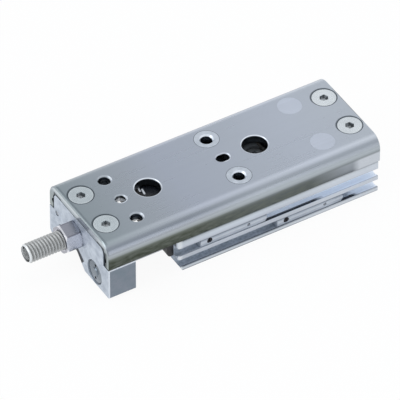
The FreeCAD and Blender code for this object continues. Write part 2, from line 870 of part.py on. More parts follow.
# Cylinders: what is fixed in the body

def per_cylinder(make):
    """One copy for each of the two cylinders, made by make(y)."""
    return Part.makeCompound([make(y) for y in (bore_offset_y, -bore_offset_y)])


def seal_groove(x, y, top_radius, section):
    """A ring groove centred on x, for a ring of the given section."""
    half = (section + groove_side_clearance) / 2
    return ring_x(x - half, x + half, y, bore_z, top_radius + through, top_radius - section)


def seal_ring(x, y, top_radius, section):
    return torus_x(x, y, bore_z, top_radius - section / 2, section / 2)


def rod_cover_ring_x():
    return (rod_cover_rear_x + rod_cover_front_x) / 2


def rod_cover(y):
    body = rod_x(rod_cover_rear_x, rod_cover_front_x, y, bore_z,
                 counterbore_radius - static_clearance)
    tools = [rod_x(rod_cover_rear_x - through, rod_cover_front_x + through, y, bore_z,
                   rod_radius + running_clearance),
             rod_x(rod_cover_rear_x - through, rod_cover_rear_x + rod_seal_length, y, bore_z,
                   rod_radius + rod_seal_thickness + 2 * running_clearance),
             seal_groove(rod_cover_ring_x(), y, counterbore_radius - static_clearance,
                         o_ring_section)]
    return carve(body, tools)


def rod_seal(y):
    return ring_x(rod_cover_rear_x + static_clearance, rod_cover_rear_x + rod_seal_length, y,
                  bore_z, rod_radius + rod_seal_thickness + running_clearance,
                  rod_radius + running_clearance)


def rod_cover_o_ring(y):
    return seal_ring(rod_cover_ring_x(), y, counterbore_radius - static_clearance,
                     o_ring_section)


def plug_ring_x():
    return plug_front_x - head_plug_ring_setback


def head_plug(y):
    radius = bore_radius - static_clearance
    body = join([rod_x(plug_rear_x, plug_front_x, y, bore_z, radius),
                 rod_x(plug_rear_x, plug_rear_x + head_plug_flange_length, y, bore_z,
                       counterbore_radius - static_clearance)])
    return body.cut(seal_groove(plug_ring_x(), y, radius, o_ring_section))


def head_plug_o_ring(y):
    return seal_ring(plug_ring_x(), y, bore_radius - static_clearance, o_ring_section)


def retaining_ring(y):
    """An internal snap ring with a gap at the bottom."""
    outer = counterbore_radius + retaining_ring_bite - static_clearance
    inner = outer - retaining_ring_width
    half_gap = retaining_ring_gap / 2
    front = plug_rear_x
    ring = ring_x(front - retaining_ring_thickness, front, y, bore_z, outer, inner)
    gap = box(front - retaining_ring_thickness - through, front + through,
              y - half_gap, y + half_gap, bore_z - outer - through, bore_z)
    return ring.cut(gap)


# Cylinders: what moves with the table

def piston_ring_x():
    return (piston_rear_x + piston_front_x) / 2 + piston_seal_shift


def piston(y):
    radius = bore_radius - running_clearance
    body = join([rod_x(piston_rear_x, piston_front_x, y, bore_z, radius),
                 rod_x(piston_rear_x, magnet_front_x - static_clearance, y, bore_z,
                       magnet_spigot_diameter / 2)])
    screw, head, height, _ = piston_screw
    tools = [seal_groove(piston_ring_x(), y, radius, seal_section),
             rod_x(piston_rear_x - through, magnet_front_x + through, y, bore_z,
                   screw / 2 + static_clearance),
             rod_x(piston_rear_x - through, piston_rear_x + height, y, bore_z,
                   head / 2 + static_clearance)]
    return carve(body, tools)


def piston_seal(y):
    return seal_ring(piston_ring_x(), y, bore_radius - running_clearance, seal_section)


def piston_magnet(y):
    return ring_x(piston_front_x, magnet_front_x, y, bore_z,
                  bore_radius - running_clearance - magnet_radial_gap,
                  magnet_spigot_diameter / 2 + static_clearance)


def piston_fastener(y):
    seat_x = piston_rear_x + piston_screw[2]
    length = magnet_front_x - seat_x + piston_screw_bite
    return socket_screw_x(seat_x, length, y, bore_z, piston_screw, -1)


def piston_rod(y):
    """The rod, with a collar behind the magnet and a second one behind the end plate."""
    end_x = rod_seat_x + rod_washer_thickness + rod_nut_thickness + rod_end_proud
    chamfer_x = end_x - rod_end_chamfer
    parts = [rod_x(magnet_front_x, chamfer_x, y, bore_z, rod_radius),
             cone_x(chamfer_x, end_x, y, bore_z, rod_radius, rod_radius - rod_end_chamfer),
             rod_x(magnet_front_x, magnet_front_x + rod_collar_length, y, bore_z,
                   rod_collar_diameter / 2),
             rod_x(plate_rear_x - rod_stop_collar_length, plate_rear_x, y, bore_z,
                   rod_stop_collar_diameter / 2)]
    hole = rod_x(magnet_front_x - through,
                 magnet_front_x + piston_screw_bite + piston_screw_hole_extra, y, bore_z,
                 piston_screw[0] / 2 + static_clearance)
    return join(parts).cut(hole)


def rod_washer(y):
    return ring_x(rod_seat_x, rod_seat_x + rod_washer_thickness, y, bore_z,
                  rod_washer_diameter / 2, rod_radius + running_clearance)


def rod_nut(y):
    """A round nut with two holes for a pin spanner."""
    rear = rod_seat_x + rod_washer_thickness
    front = rear + rod_nut_thickness
    nut = ring_x(rear, front, y, bore_z, rod_nut_diameter / 2, rod_radius + static_clearance)
    holes = [rod_x(front - spanner_hole_depth, front + through, y, bore_z + side,
                   spanner_hole_diameter / 2) for side in (-spanner_hole_offset,
                                                           spanner_hole_offset)]
    return carve(nut, holes)


# Stroke adjuster

def thread_profile(x0, x1, crest, root):
    """The outline of a ridged rod above its axis, as (x, radius) points."""
    points = [(x0, 0), (x0, root)]
    count = int((x1 - x0 - 2 * adjuster_end_chamfer) / adjuster_pitch)
    start = x0 + adjuster_end_chamfer
    for i in range(count):
        foot = start + i * adjuster_pitch
        points += [(foot, root), (foot + adjuster_pitch / 2, crest)]
    points += [(start + count * adjuster_pitch, root), (x1 - adjuster_end_chamfer, root),
               (x1 - adjuster_end_chamfer, crest), (x1, crest - adjuster_end_chamfer), (x1, 0)]
    return points


def adjuster_bolt():
    front_x = table_front_x + adjuster_reach
    crest = adjuster_radius - adjuster_fit
    points = [V(x, adjuster_y + r, adjuster_z) for x, r in
              thread_profile(adjuster_tail_x, front_x, crest, crest - adjuster_thread_depth)]
    face = Part.Face(Part.makePolygon(points + points[:1]))
    bolt = face.revolve(V(0, adjuster_y, adjuster_z), V(1, 0, 0), 360)
    tools = [hex_x(front_x - adjuster_socket_depth, front_x + through, adjuster_y, adjuster_z,
                   adjuster_socket_flats),
             rod_x(adjuster_tail_x - through, adjuster_tail_x + tip_length - tip_proud,
                   adjuster_y, adjuster_z, tip_diameter / 2 + adjuster_fit)]
    return carve(bolt, tools)


def adjuster_tip():
    rear = adjuster_tail_x - tip_proud
    return rod_x(rear, rear + tip_length, adjuster_y, adjuster_z, tip_diameter / 2)


def lock_nut():
    """A hexagon nut whose corners are turned down at both faces."""
    rear = table_front_x + nut_seat_gap
    front = rear + nut_thickness
    corner = hexagon_corner(nut_flats)
    turned = join([cone_x(rear, rear + nut_chamfer, adjuster_y, adjuster_z,
                          corner - nut_chamfer, corner),
                   rod_x(rear + nut_chamfer, front - nut_chamfer, adjuster_y, adjuster_z, corner),
                   cone_x(front - nut_chamfer, front, adjuster_y, adjuster_z, corner,
                          corner - nut_chamfer)])
    nut = hex_x(rear, front, adjuster_y, adjuster_z, nut_flats)
    nut.rotate(V(0, adjuster_y, adjuster_z), V(1, 0, 0), nut_turn)
    nut = nut.common(turned)
    mouth = adjuster_radius + nut_mouth_chamfer
    tools = [rod_x(rear - through, front + through, adjuster_y, adjuster_z, adjuster_radius),
             cone_x(front - nut_mouth_chamfer, front, adjuster_y, adjuster_z, adjuster_radius,
                    mouth)]
    return carve(nut, tools)


# Auto switches

def switch_screw_tool(front_x, z, radius, low_y, high_y):
    return rod_y(low_y, high_y, front_x - switch_screw_setback, z, radius)


def auto_switch(front_x, z):
    """A moulded switch that fills the round slot and its mouth."""
    rear_x = front_x - switch_length
    face_y = body_half - switch_recess
    round_part = rod_x(rear_x, front_x, slot_centre_y, z, slot_radius - switch_clearance)
    half = slot_opening / 2 - switch_clearance
    neck = box(rear_x, front_x, slot_centre_y, face_y, z - half, z + half)
    uprights = [e for e in neck.Edges
                if abs(e.Vertexes[0].Point.z - e.Vertexes[1].Point.z) > half
                and all(abs(v.Point.y - face_y) < same_place for v in e.Vertexes)]
    neck = neck.makeFillet(switch_end_radius, uprights)
    low_y = face_y - switch_screw_depth
    hole = switch_screw_tool(front_x, z, switch_screw_diameter / 2 + static_clearance, low_y,
                             body_half)
    dimple = rod_y(face_y - switch_dimple_depth, body_half, front_x - switch_dimple_setback, z,
                   switch_dimple_diameter / 2)
    return carve(join([round_part, neck]), [hole, dimple])


def switch_screw(front_x, z):
    face_y = body_half - switch_recess
    screw = switch_screw_tool(front_x, z, switch_screw_diameter / 2, face_y - switch_screw_depth,
                              face_y - static_clearance)
    x = front_x - switch_screw_setback
    half = switch_screw_slot / 2
    slot = box(x - half, x + half, face_y - switch_screw_slot_depth, body_half,
               z - switch_screw_diameter, z + switch_screw_diameter)
    return screw.cut(slot)


# Every node and the shape that it holds

nodes = {
    "cylinder_body": cylinder_body(),
    "front_plate": front_plate(),
    "front_plate_screws": front_plate_screws(),
    "guide_block": guide_block(),
    "guide_block_screws": guide_block_screws(),
    "front_return_cap": front_return_cap(),
    "rear_return_cap": rear_return_cap(),
    "front_wiper": front_wiper(),
    "rear_wiper": rear_wiper(),
    "return_cap_screws": return_cap_screws(),
    "near_balls": near_balls(),
    "far_balls": far_balls(),
    "rod_covers": per_cylinder(rod_cover),
    "rod_seals": per_cylinder(rod_seal),
    "rod_cover_o_rings": per_cylinder(rod_cover_o_ring),
    "head_plugs": per_cylinder(head_plug),
    "head_plug_o_rings": per_cylinder(head_plug_o_ring),
    "retaining_rings": per_cylinder(retaining_ring),
    "table": table(),
    "table_inserts": table_inserts(),
    "table_plugs": table_plugs(),
    "end_plate": end_plate(),
    "end_plate_screws": flat_screws(front_screw_x),
    "rear_block": rear_block(),
    "rear_block_screws": flat_screws(rear_screw_x),
    "rear_bumper": rear_bumper(),
    "pistons": per_cylinder(piston),
    "piston_seals": per_cylinder(piston_seal),
    "piston_magnets": per_cylinder(piston_magnet),
    "piston_screws": per_cylinder(piston_fastener),
    "piston_rods": per_cylinder(piston_rod),
    "rod_washers": per_cylinder(rod_washer),
    "rod_nuts": per_cylinder(rod_nut),
    "adjuster_bolt": adjuster_bolt(),
    "adjuster_tip": adjuster_tip(),
    "lock_nut": lock_nut(),
    "upper_switch": auto_switch(upper_switch_front_x, upper_slot_z),
    "upper_switch_screw": switch_screw(upper_switch_front_x, upper_slot_z),
    "lower_switch": auto_switch(lower_switch_front_x, lower_slot_z),
    "lower_switch_screw": switch_screw(lower_switch_front_x, lower_slot_z),
}

os.makedirs("parts", exist_ok=True)
for name, shape in nodes.items():
    shape.exportStep("parts/" + name + ".step")
    size = shape.BoundBox
    print(name, len(shape.Solids), shape.isValid(), round(shape.Volume, 2),
          [round(v, 2) for v in (size.XMin, size.XMax, size.YMin, size.YMax, size.ZMin, size.ZMax)])
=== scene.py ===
# %% [markdown]
# # A pneumatic slide table
#
# This lesson dresses a small air-driven slide: a ground steel table that runs on a ball guide,
# an aluminium body with two cylinders in it, and an end plate that carries a stroke adjuster.
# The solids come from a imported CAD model, which stays exactly where it is. What is left to do
# is the finish of every surface, the screw threads, the lamps of the two switches, and a plain
# studio around the part.

# %% Load the fixed frame
import math

import bmesh
import bpy
from mathutils import Matrix, Vector


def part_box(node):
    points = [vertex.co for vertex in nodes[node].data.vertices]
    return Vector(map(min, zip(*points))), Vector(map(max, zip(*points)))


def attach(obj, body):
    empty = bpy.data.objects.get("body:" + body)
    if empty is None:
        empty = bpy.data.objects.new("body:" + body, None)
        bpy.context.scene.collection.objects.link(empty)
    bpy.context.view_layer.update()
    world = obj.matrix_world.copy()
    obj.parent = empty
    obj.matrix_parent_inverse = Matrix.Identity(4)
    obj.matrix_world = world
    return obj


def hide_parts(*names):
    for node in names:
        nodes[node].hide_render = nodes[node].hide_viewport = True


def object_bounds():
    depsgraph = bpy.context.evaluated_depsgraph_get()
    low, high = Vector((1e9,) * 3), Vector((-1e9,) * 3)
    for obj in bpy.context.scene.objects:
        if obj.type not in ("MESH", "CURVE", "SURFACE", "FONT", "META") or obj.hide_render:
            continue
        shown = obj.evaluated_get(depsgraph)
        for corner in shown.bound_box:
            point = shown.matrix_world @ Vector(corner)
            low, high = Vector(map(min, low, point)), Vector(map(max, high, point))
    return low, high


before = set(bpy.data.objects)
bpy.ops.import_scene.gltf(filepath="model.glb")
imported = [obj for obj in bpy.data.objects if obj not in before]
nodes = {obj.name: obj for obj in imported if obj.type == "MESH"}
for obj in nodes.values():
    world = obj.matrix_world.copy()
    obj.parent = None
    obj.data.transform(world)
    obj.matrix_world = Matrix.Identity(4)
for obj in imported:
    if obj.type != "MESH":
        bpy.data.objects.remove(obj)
cad_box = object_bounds()
mm = 0.001
scene = bpy.context.scene
scene.view_settings.view_transform = "Standard"


def in_mm(box):
    """A box in millimetres, rounded for printing."""
    return [[round(c / mm, 2) for c in corner] for corner in box]


print("nodes:", len(nodes), "box in mm:", in_mm(cad_box))

# %% [markdown]
# ## The camera
#
# A catalogue picture of a part like this is taken from far away through a long lens, so that
# its long edges stay almost parallel. A near camera with a short lens would show more
# convergence, and an orthographic one would show none at all. The long lens keeps the small
# amount that a real picture has.

# %% Camera
camera_target = Vector((6.67, 2.83, 10.0)) * mm
camera_back = Vector((0.3815, 0.6334, 0.6733)).normalized()
camera_distance = 1.772
camera_data = bpy.data.cameras.new("camera")
camera_data.lens = 558.0
camera_data.sensor_width = 36.0
camera_data.clip_start = 0.1
camera_data.clip_end = 50.0
camera = bpy.data.objects.new("camera", camera_data)
camera.location = camera_target + camera_back * camera_distance
camera.rotation_mode = "QUATERNION"
camera.rotation_quaternion = (-camera_back).to_track_quat("-Z", "Y")
scene.collection.objects.link(camera)
scene.camera = camera
print("camera at", [round(c, 3) for c in camera.location])

# %% [markdown]
# ## The studio
#
# Metal shows its surroundings more than its own colour. A white room all round would make
# every face equally pale, so the room here is white behind the part, and one large grey card
# hangs where the flat top looks at it. The card is seen only in reflections. The floor is a
# pale sheet that gives most of its white by itself, and keeps a part of the shadow.

# %% Helpers for shader nodes
def add_node(tree, kind, **settings):
    """A new shader node. Settings named after its inputs fill them, and others are its own."""
    node = tree.nodes.new(kind)
    for name, value in settings.items():
        label = name.replace("_", " ")
        match = [s for s in node.inputs if s.name.lower() == label and s.enabled]
        if match:
            match[0].default_value = value
        else:
            setattr(node, name, value)
    return node


def new_material(name):
    material = bpy.data.materials.new(name)
    material.use_nodes = True
    material.node_tree.nodes.clear()
    return material, material.node_tree


def white_to_eye(tree):
    """1 for camera, glossy and transmission rays, and 0 for the rays that carry light."""
    path = add_node(tree, "ShaderNodeLightPath")
    first = add_node(tree, "ShaderNodeMath", operation="MAXIMUM")
    both = add_node(tree, "ShaderNodeMath", operation="MAXIMUM")
    tree.links.new(path.outputs["Is Camera Ray"], first.inputs[0])
    tree.links.new(path.outputs["Is Glossy Ray"], first.inputs[1])
    tree.links.new(first.outputs[0], both.inputs[0])
    tree.links.new(path.outputs["Is Transmission Ray"], both.inputs[1])
    return both.outputs[0]


# %% White room
room_light = 0.75
world = bpy.data.worlds.new("white_room")
world.use_nodes = True
scene.world = world
tree = world.node_tree
tree.nodes.clear()
dim = add_node(tree, "ShaderNodeBackground", color=(0.93, 0.96, 1.0, 1.0), strength=room_light)
white = add_node(tree, "ShaderNodeBackground", color=(1.0, 1.0, 1.0, 1.0), strength=1.0)
mix = add_node(tree, "ShaderNodeMixShader")
out = add_node(tree, "ShaderNodeOutputWorld")
tree.links.new(white_to_eye(tree), mix.inputs[0])
tree.links.new(dim.outputs[0], mix.inputs[1])
tree.links.new(white.outputs[0], mix.inputs[2])
tree.links.new(mix.outputs[0], out.inputs["Surface"])
print("room light for matt surfaces:", room_light)

# %% Flat sheets for the floor and the cards
def sheet(name, centre, size, normal):
    """A flat square sheet, its place kept in the mesh."""
    bm = bmesh.new()
    bmesh.ops.create_grid(bm, x_segments=1, y_segments=1, size=size / 2)
    turn = Vector(normal).to_track_quat("Z", "Y").to_matrix().to_4x4()
    bmesh.ops.transform(bm, matrix=Matrix.Translation(centre) @ turn, verts=bm.verts)
    mesh = bpy.data.meshes.new(name)
    bm.to_mesh(mesh)
    bm.free()
    made = bpy.data.objects.new(name, mesh)
    scene.collection.objects.link(made)
    return made


# %% Floor
floor_self_white = 0.93
floor_gap = 0.02 * mm
floor = sheet("floor", (0, 0, cad_box[0].z - floor_gap), 8.0, (0, 0, 1))
material, tree = new_material("pale_floor")
paper = add_node(tree, "ShaderNodeBsdfDiffuse", color=(0.88, 0.88, 0.88, 1.0))
glow = add_node(tree, "ShaderNodeEmission", color=(1.0, 1.0, 1.0, 1.0), strength=1.0)
share = add_node(tree, "ShaderNodeMath", operation="MULTIPLY")
share.inputs[1].default_value = floor_self_white
mix = add_node(tree, "ShaderNodeMixShader")
out = add_node(tree, "ShaderNodeOutputMaterial")
tree.links.new(white_to_eye(tree), share.inputs[0])
tree.links.new(share.outputs[0], mix.inputs[0])
tree.links.new(paper.outputs[0], mix.inputs[1])
tree.links.new(glow.outputs[0], mix.inputs[2])
tree.links.new(mix.outputs[0], out.inputs["Surface"])
floor.data.materials.append(material)
print("floor at Z in mm:", round((cad_box[0].z - floor_gap) / mm, 2))

# %% A card that only reflections see
def grey_card(name, centre, size, strength):
    """A card facing the part, of one grey."""
    centre = Vector(centre)
    card = sheet(name, centre, size, -centre)
    material, tree = new_material(name)
    glow = add_node(tree, "ShaderNodeEmission", color=(0.97, 0.985, 1.0, 1.0), strength=strength)
    out = add_node(tree, "ShaderNodeOutputMaterial")
    tree.links.new(glow.outputs[0], out.inputs["Surface"])
    card.data.materials.append(material)
    card.visible_camera = False
    card.visible_diffuse = False
    card.visible_shadow = False
    return card


card_grey = 0.75
grey_card("top_card", (-0.42, -0.70, 0.74), 1.1, card_grey)
print("the card shows", card_grey, "of white")

# %% Lamps
def softbox(name, place, width, power, in_reflections):
    """A square area lamp that faces the part."""
    lamp = bpy.data.lights.new(name, "AREA")
    lamp.shape = "SQUARE"
    lamp.size = width
    lamp.energy = power
    made = bpy.data.objects.new(name, lamp)
    made.location = place
    made.rotation_mode = "QUATERNION"
    made.rotation_quaternion = (-Vector(place)).to_track_quat("-Z", "Y")
    made.visible_camera = False
    made.visible_glossy = in_reflections
    scene.collection.objects.link(made)
    return made


softbox("overhead", (-0.05, 0.05, 1.0), 0.9, 3.2, False)
softbox("front_light", (0.95, -0.25, 0.35), 0.7, 2.2, True)
softbox("side_light", (-0.15, 1.0, 0.22), 0.5, 1.0, True)

# %% [markdown]
# ## Metal finishes
#
# Ground and machined metal has three things that a flat colour lacks: fine lines left by the
# wheel or the cutter, slow clouds where the surface took more or less of it, and a gloss that
# follows both. One recipe gives all three from two noises in Object coordinates. The fine
# noise is stretched along the direction of work, and each metal gets its own stretch, colour
# and gloss. A painted image would need an unwrapped surface, and would blur close up.

# %% Small helpers for values and colours
def seen(red, green, blue):
    """A colour given as a screen shows it, from 0 to 255, turned into what a shader wants."""
    return tuple(((c / 255 + 0.055) / 1.055) ** 2.4 for c in (red, green, blue))


def arithmetic(tree, operation, *values):
    """Maths on values, each a socket or a number."""
    made = add_node(tree, "ShaderNodeMath", operation=operation)
    for slot, value in zip(made.inputs, values):
        if isinstance(value, (int, float)):
            slot.default_value = value
        else:
            tree.links.new(value, slot)
    return made.outputs[0]


def times(tree, first, *others):
    for other in others:
        first = arithmetic(tree, "MULTIPLY", first, other)
    return first


def most(tree, first, *others):
    for other in others:
        first = arithmetic(tree, "MAXIMUM", first, other)
    return first


def rise(tree, value, low, high):
    """0 where the value is under low, 1 over high, and straight in between."""
    made = add_node(tree, "ShaderNodeMapRange", from_min=low, from_max=high, to_min=0.0,
                    to_max=1.0)
    tree.links.new(value, made.inputs["Value"])
    return made.outputs["Result"]


def fall(tree, value, low, high):
    return rise(tree, value, high, low)


def between(tree, value, low, high, soft=0.1):
    """1 from low to high, with soft ends."""
    return times(tree, rise(tree, value, low - soft, low), fall(tree, value, high, high + soft))


def spread(tree, value, low, high):
    """A noise value spread from one number to another."""
    made = add_node(tree, "ShaderNodeMapRange", from_min=0.34, from_max=0.66, to_min=low,
                    to_max=high)
    tree.links.new(value, made.inputs["Value"])
    return made.outputs["Result"]


def blend_colours(tree, share, first, second, how="MIX"):
    """Two colours mixed by a share. Each is a socket or three numbers."""
    made = add_node(tree, "ShaderNodeMix", data_type="RGBA", blend_type=how)
    slots = [s for s in made.inputs if s.type == "RGBA"]
    for slot, value in zip(slots, (first, second)):
        if isinstance(value, tuple):
            slot.default_value = (*value, 1.0)
        else:
            tree.links.new(value, slot)
    factor = [s for s in made.inputs if s.type == "VALUE"][0]
    if isinstance(share, (int, float)):
        factor.default_value = share
    else:
        tree.links.new(share, factor)
    return [s for s in made.outputs if s.type == "RGBA"][0]


def ramp(tree, value, stops):
    """A colour that goes through the stops, each a value and a colour, as the value rises."""
    low, high = stops[0][0], stops[-1][0]
    made = add_node(tree, "ShaderNodeValToRGB")
    tree.links.new(rise(tree, value, low, high), made.inputs["Fac"])
    elements = made.color_ramp.elements
    while len(elements) < len(stops):
        elements.new(0.5)
    for element, (at, colour) in zip(elements, stops):
        element.position = (at - low) / (high - low)
        element.color = (*colour, 1.0)
    return made.outputs["Color"]


# %% Helpers for places on the part
def place(tree):
    """The Object coordinates in millimetres: X, Y, Z and the distance from the middle plane."""
    coordinates = add_node(tree, "ShaderNodeTexCoord")
    split = add_node(tree, "ShaderNodeSeparateXYZ")
    tree.links.new(coordinates.outputs["Object"], split.inputs[0])
    x, y, z = (times(tree, split.outputs[axis], 1 / mm) for axis in "XYZ")
    return x, y, z, arithmetic(tree, "ABSOLUTE", y)


def distance(tree, first, second, centre):
    """How far two coordinates are from a centre, in their plane."""
    squares = [times(tree, gap, gap) for gap in
               (arithmetic(tree, "SUBTRACT", first, centre[0]),
                arithmetic(tree, "SUBTRACT", second, centre[1]))]
    return arithmetic(tree, "SQRT", arithmetic(tree, "ADD", *squares))


def noise(tree, scale, detail=4.0, rough=0.55):
    """A noise with the given cycles per millimetre along each axis."""
    coordinates = add_node(tree, "ShaderNodeTexCoord")
    mapping = add_node(tree, "ShaderNodeMapping")
    mapping.inputs["Scale"].default_value = [s / mm for s in scale]
    tree.links.new(coordinates.outputs["Object"], mapping.inputs["Vector"])
    made = add_node(tree, "ShaderNodeTexNoise", detail=detail, roughness=rough)
    made.inputs["Scale"].default_value = 1.0
    tree.links.new(mapping.outputs["Vector"], made.inputs["Vector"])
    return made.outputs["Fac"]


def box_of(name):
    """A node's box in millimetres."""
    return [tuple(c / mm for c in corner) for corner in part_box(name)]


# %% The metal recipe
def metal(name, gloss, grain, relief, metallic=1.0, cloud=0.05, depth=0.10):
    """A machined metal without its colour. Returns what is needed to colour it.

    The last of the four is a colour near white, which carries the grain and the clouds.
    """
    material, tree = new_material(name)
    fine = noise(tree, grain, detail=3.0)
    slow = noise(tree, (cloud, cloud, cloud), detail=3.0)
    both = arithmetic(tree, "ADD", times(tree, fine, 0.5), times(tree, slow, 0.5))
    low, high = 1.0 - depth, 1.0 + depth * 0.6
    tone = blend_colours(tree, spread(tree, both, 0.0, 1.0), (low,) * 3, (high,) * 3)
    shader = add_node(tree, "ShaderNodeBsdfPrincipled", metallic=metallic)
    tree.links.new(spread(tree, both, gloss[0], gloss[1]), shader.inputs["Roughness"])
    bump = add_node(tree, "ShaderNodeBump", strength=0.5, distance=relief * mm)
    tree.links.new(fine, bump.inputs["Height"])
    tree.links.new(bump.outputs["Normal"], shader.inputs["Normal"])
    out = add_node(tree, "ShaderNodeOutputMaterial")
    tree.links.new(shader.outputs[0], out.inputs["Surface"])
    return material, tree, shader, tone


def paint(tree, shader, colour, tone):
    """Gives a metal its colour, with the grain and clouds of its tone."""
    tree.links.new(blend_colours(tree, 1.0, colour, tone, "MULTIPLY"), shader.inputs["Base Color"])


def plain_metal(name, colour, gloss, grain, relief=0.004, metallic=1.0, cloud=0.3, depth=0.14):
    """A metal of one colour, which its grain and clouds vary."""
    material, tree, shader, tone = metal(name, gloss, grain, relief, metallic, cloud, depth)
    paint(tree, shader, colour, tone)
    return material


def dress(material, *names):
    """Puts a material on CAD nodes."""
    for name in names:
        for slot in nodes[name].material_slots:
            slot.material = material


# %% [markdown]
# ## The steel table
#
# The table is a channel of stainless steel, ground on top. Its top is painted with the
# reflection that it shows, from a greenish grey at the front to a cooler and lighter one
# behind. The long roundings are painted with reflection bands: a slightly darker band, then a
# thin pale line, and then the flank, which is painted dark as shade, less so at the rear. The
# height on the rounding drives one ramp of colours, and the place along the table drives
# another. The edges of the holes were broken with a countersink, and painted highlights lie in
# rings and crescents on them. Painted shade lies in rings round the screw heads and the
# inserts, inside the table and along its front end. The wall of the dowel hole is pale low
# down, where light comes up through it. All of these are masks on the same material: a mask
# is 1 where a colour goes and 0 elsewhere, and comes from distances and heights.

# %% Colours of the table's top and flanks
table_low, table_high = box_of("table")
top_z = table_high[2]
material, tree, shader, tone = metal("table_steel", (0.26, 0.33), (0.02, 0.8, 0.8), 0.0004,
                                     depth=0.015)
x, y, z, aside = place(tree)


def on_card(*colour):
    """A colour for a face that looks at the grey card."""
    return tuple(c / card_grey for c in seen(*colour))


# Painted reflection on the top: darker at the front, lighter behind.
along_top = ramp(tree, x, [(-45.0, on_card(174, 181, 190)), (-25.0, on_card(172, 179, 191)),
                           (-8.0, on_card(166, 173, 184)), (14.0, on_card(159, 166, 179)),
                           (26.0, on_card(152, 159, 168)), (45.0, on_card(136, 146, 152))])
# Painted reflection bands on the roundings, by height, down to the flank, which is painted dark as
# shade.
rounding_front = ramp(tree, z, [(11.8, seen(30, 34, 30)), (12.15, seen(58, 64, 55)),
                                (14.2, seen(68, 74, 64)), (14.9, seen(80, 86, 78)),
                                (15.6, seen(118, 125, 120)), (16.1, seen(156, 163, 166)),
                                (16.8, seen(170, 177, 183)), (17.3, seen(146, 152, 160)),
                                (17.8, seen(134, 140, 150)), (18.6, seen(128, 136, 147)),
                                (19.3, seen(148, 156, 166))])
rounding_rear = ramp(tree, z, [(11.8, seen(54, 60, 60)), (12.15, seen(84, 90, 90)),
                               (14.2, seen(88, 95, 97)), (14.9, seen(96, 103, 107)),
                               (15.6, seen(124, 131, 135)), (16.1, seen(158, 166, 172)),
                               (16.8, seen(172, 180, 187)), (17.3, seen(158, 166, 173)),
                               (17.8, seen(150, 157, 166)), (18.6, seen(150, 158, 168)),
                               (19.3, seen(162, 170, 181))])
rounded = blend_colours(tree, fall(tree, x, -6.0, 18.0), rounding_front, rounding_rear)
# A noise mottles the painted shade of the flank.
mottle = noise(tree, (0.35, 0.35, 1.1), detail=5.0)
flank = fall(tree, z, 15.0, 15.8)
rounded = blend_colours(tree, times(tree, flank, spread(tree, mottle, 0.0, 0.8)), rounded,
                        seen(100, 106, 100), "MIX")
# Towards the rear the painted shade of the flank fades, and at the very rear the flank is painted
# pale.
less_shaded_flank = ramp(tree, z, [(11.8, seen(112, 118, 126)), (13.0, seen(150, 157, 167)),
                            (15.5, seen(166, 173, 183))])
rounded = blend_colours(tree, times(tree, flank, fall(tree, x, -34.0, -22.0), 0.75), rounded,
                        less_shaded_flank)
rounded = blend_colours(tree, times(tree, flank, fall(tree, x, -38.5, -36.0), 0.9), rounded,
                        seen(200, 206, 214))
lying = rise(tree, z, top_z - 1.0, top_z - 0.35)
colour = blend_colours(tree, lying, rounded, along_top)
print("table in mm:", table_low, table_high)

# %% Painted highlights and shades round the holes
screw_boxes = {name: box_of(name) for name in ("end_plate_screws", "rear_block_screws")}
insert_box = box_of("table_inserts")
disc_radius = (insert_box[1][0] - insert_box[0][0]) / 2
mid_x = (insert_box[0][0] + insert_box[1][0]) / 2
hole_y = insert_box[1][1] - disc_radius
front_hole_x = mid_x + 33.9
front_access_x, rear_access_x = 22.3, -13.3
bevel_radius = 1.95


def ring(tree, centre, radius, half_width):
    """1 in a thin ring round an upright axis, on both sides of the middle plane."""
    return arithmetic(tree, "COMPARE", distance(tree, x, aside, centre), radius, half_width)


def crescent(tree, centre, radius, half_width, near=1.0):
    """1 in a thin ring round an upright axis, fading out away from one of its sides."""
    whole = arithmetic(tree, "COMPARE", distance(tree, x, y, centre), radius, half_width)
    forward = arithmetic(tree, "SUBTRACT", x, centre[0])
    sideways = arithmetic(tree, "SUBTRACT", y, centre[1])
    lean = arithmetic(tree, "MULTIPLY_ADD", forward, -0.35, sideways)
    return times(tree, whole, rise(tree, times(tree, lean, near), 0.15 * radius, 0.6 * radius))


# Painted highlights: light rings on the rims of the access holes, and crescents on one side of the
# countersunk holes.
rim_highlights = [ring(tree, (front_access_x, 0.0), 4.02, 0.16), ring(tree, (rear_access_x, 0.0), 4.0, 0.14)]
for centre in ((front_hole_x, hole_y), (front_hole_x, -hole_y)):
    rim_highlights.append(crescent(tree, centre, bevel_radius, 0.30))
rim_highlights.append(crescent(tree, (front_hole_x, 0.0), 1.80, 0.32))
rim_highlights.append(crescent(tree, (mid_x - 0.25, 0.0), bevel_radius, 0.16))
on_top = rise(tree, z, top_z - 0.55, top_z - 0.4)
colour = blend_colours(tree, times(tree, most(tree, *rim_highlights), on_top, 0.8), colour,
                       on_card(206, 213, 222))
# Painted shade: dark rings round the inserts and the screw heads, and dark crescents on one side
# of each head.
shades = [ring(tree, (mid_x, hole_y), disc_radius + 0.08, 0.06)]
for low, high in screw_boxes.values():
    head = (high[0] - low[0]) / 2
    centre = ((low[0] + high[0]) / 2, high[1] - head)
    shades.append(ring(tree, centre, head + 0.18, 0.18))
    for side in (1.0, -1.0):
        shades.append(times(tree, crescent(tree, (centre[0], centre[1] * side), head + 0.34, 0.20,
                                           -1.0), 0.8))
colour = blend_colours(tree, times(tree, most(tree, *shades), on_top, 0.8), colour,
                       on_card(58, 66, 74))
print("rims and shades:", len(rim_highlights), len(shades))
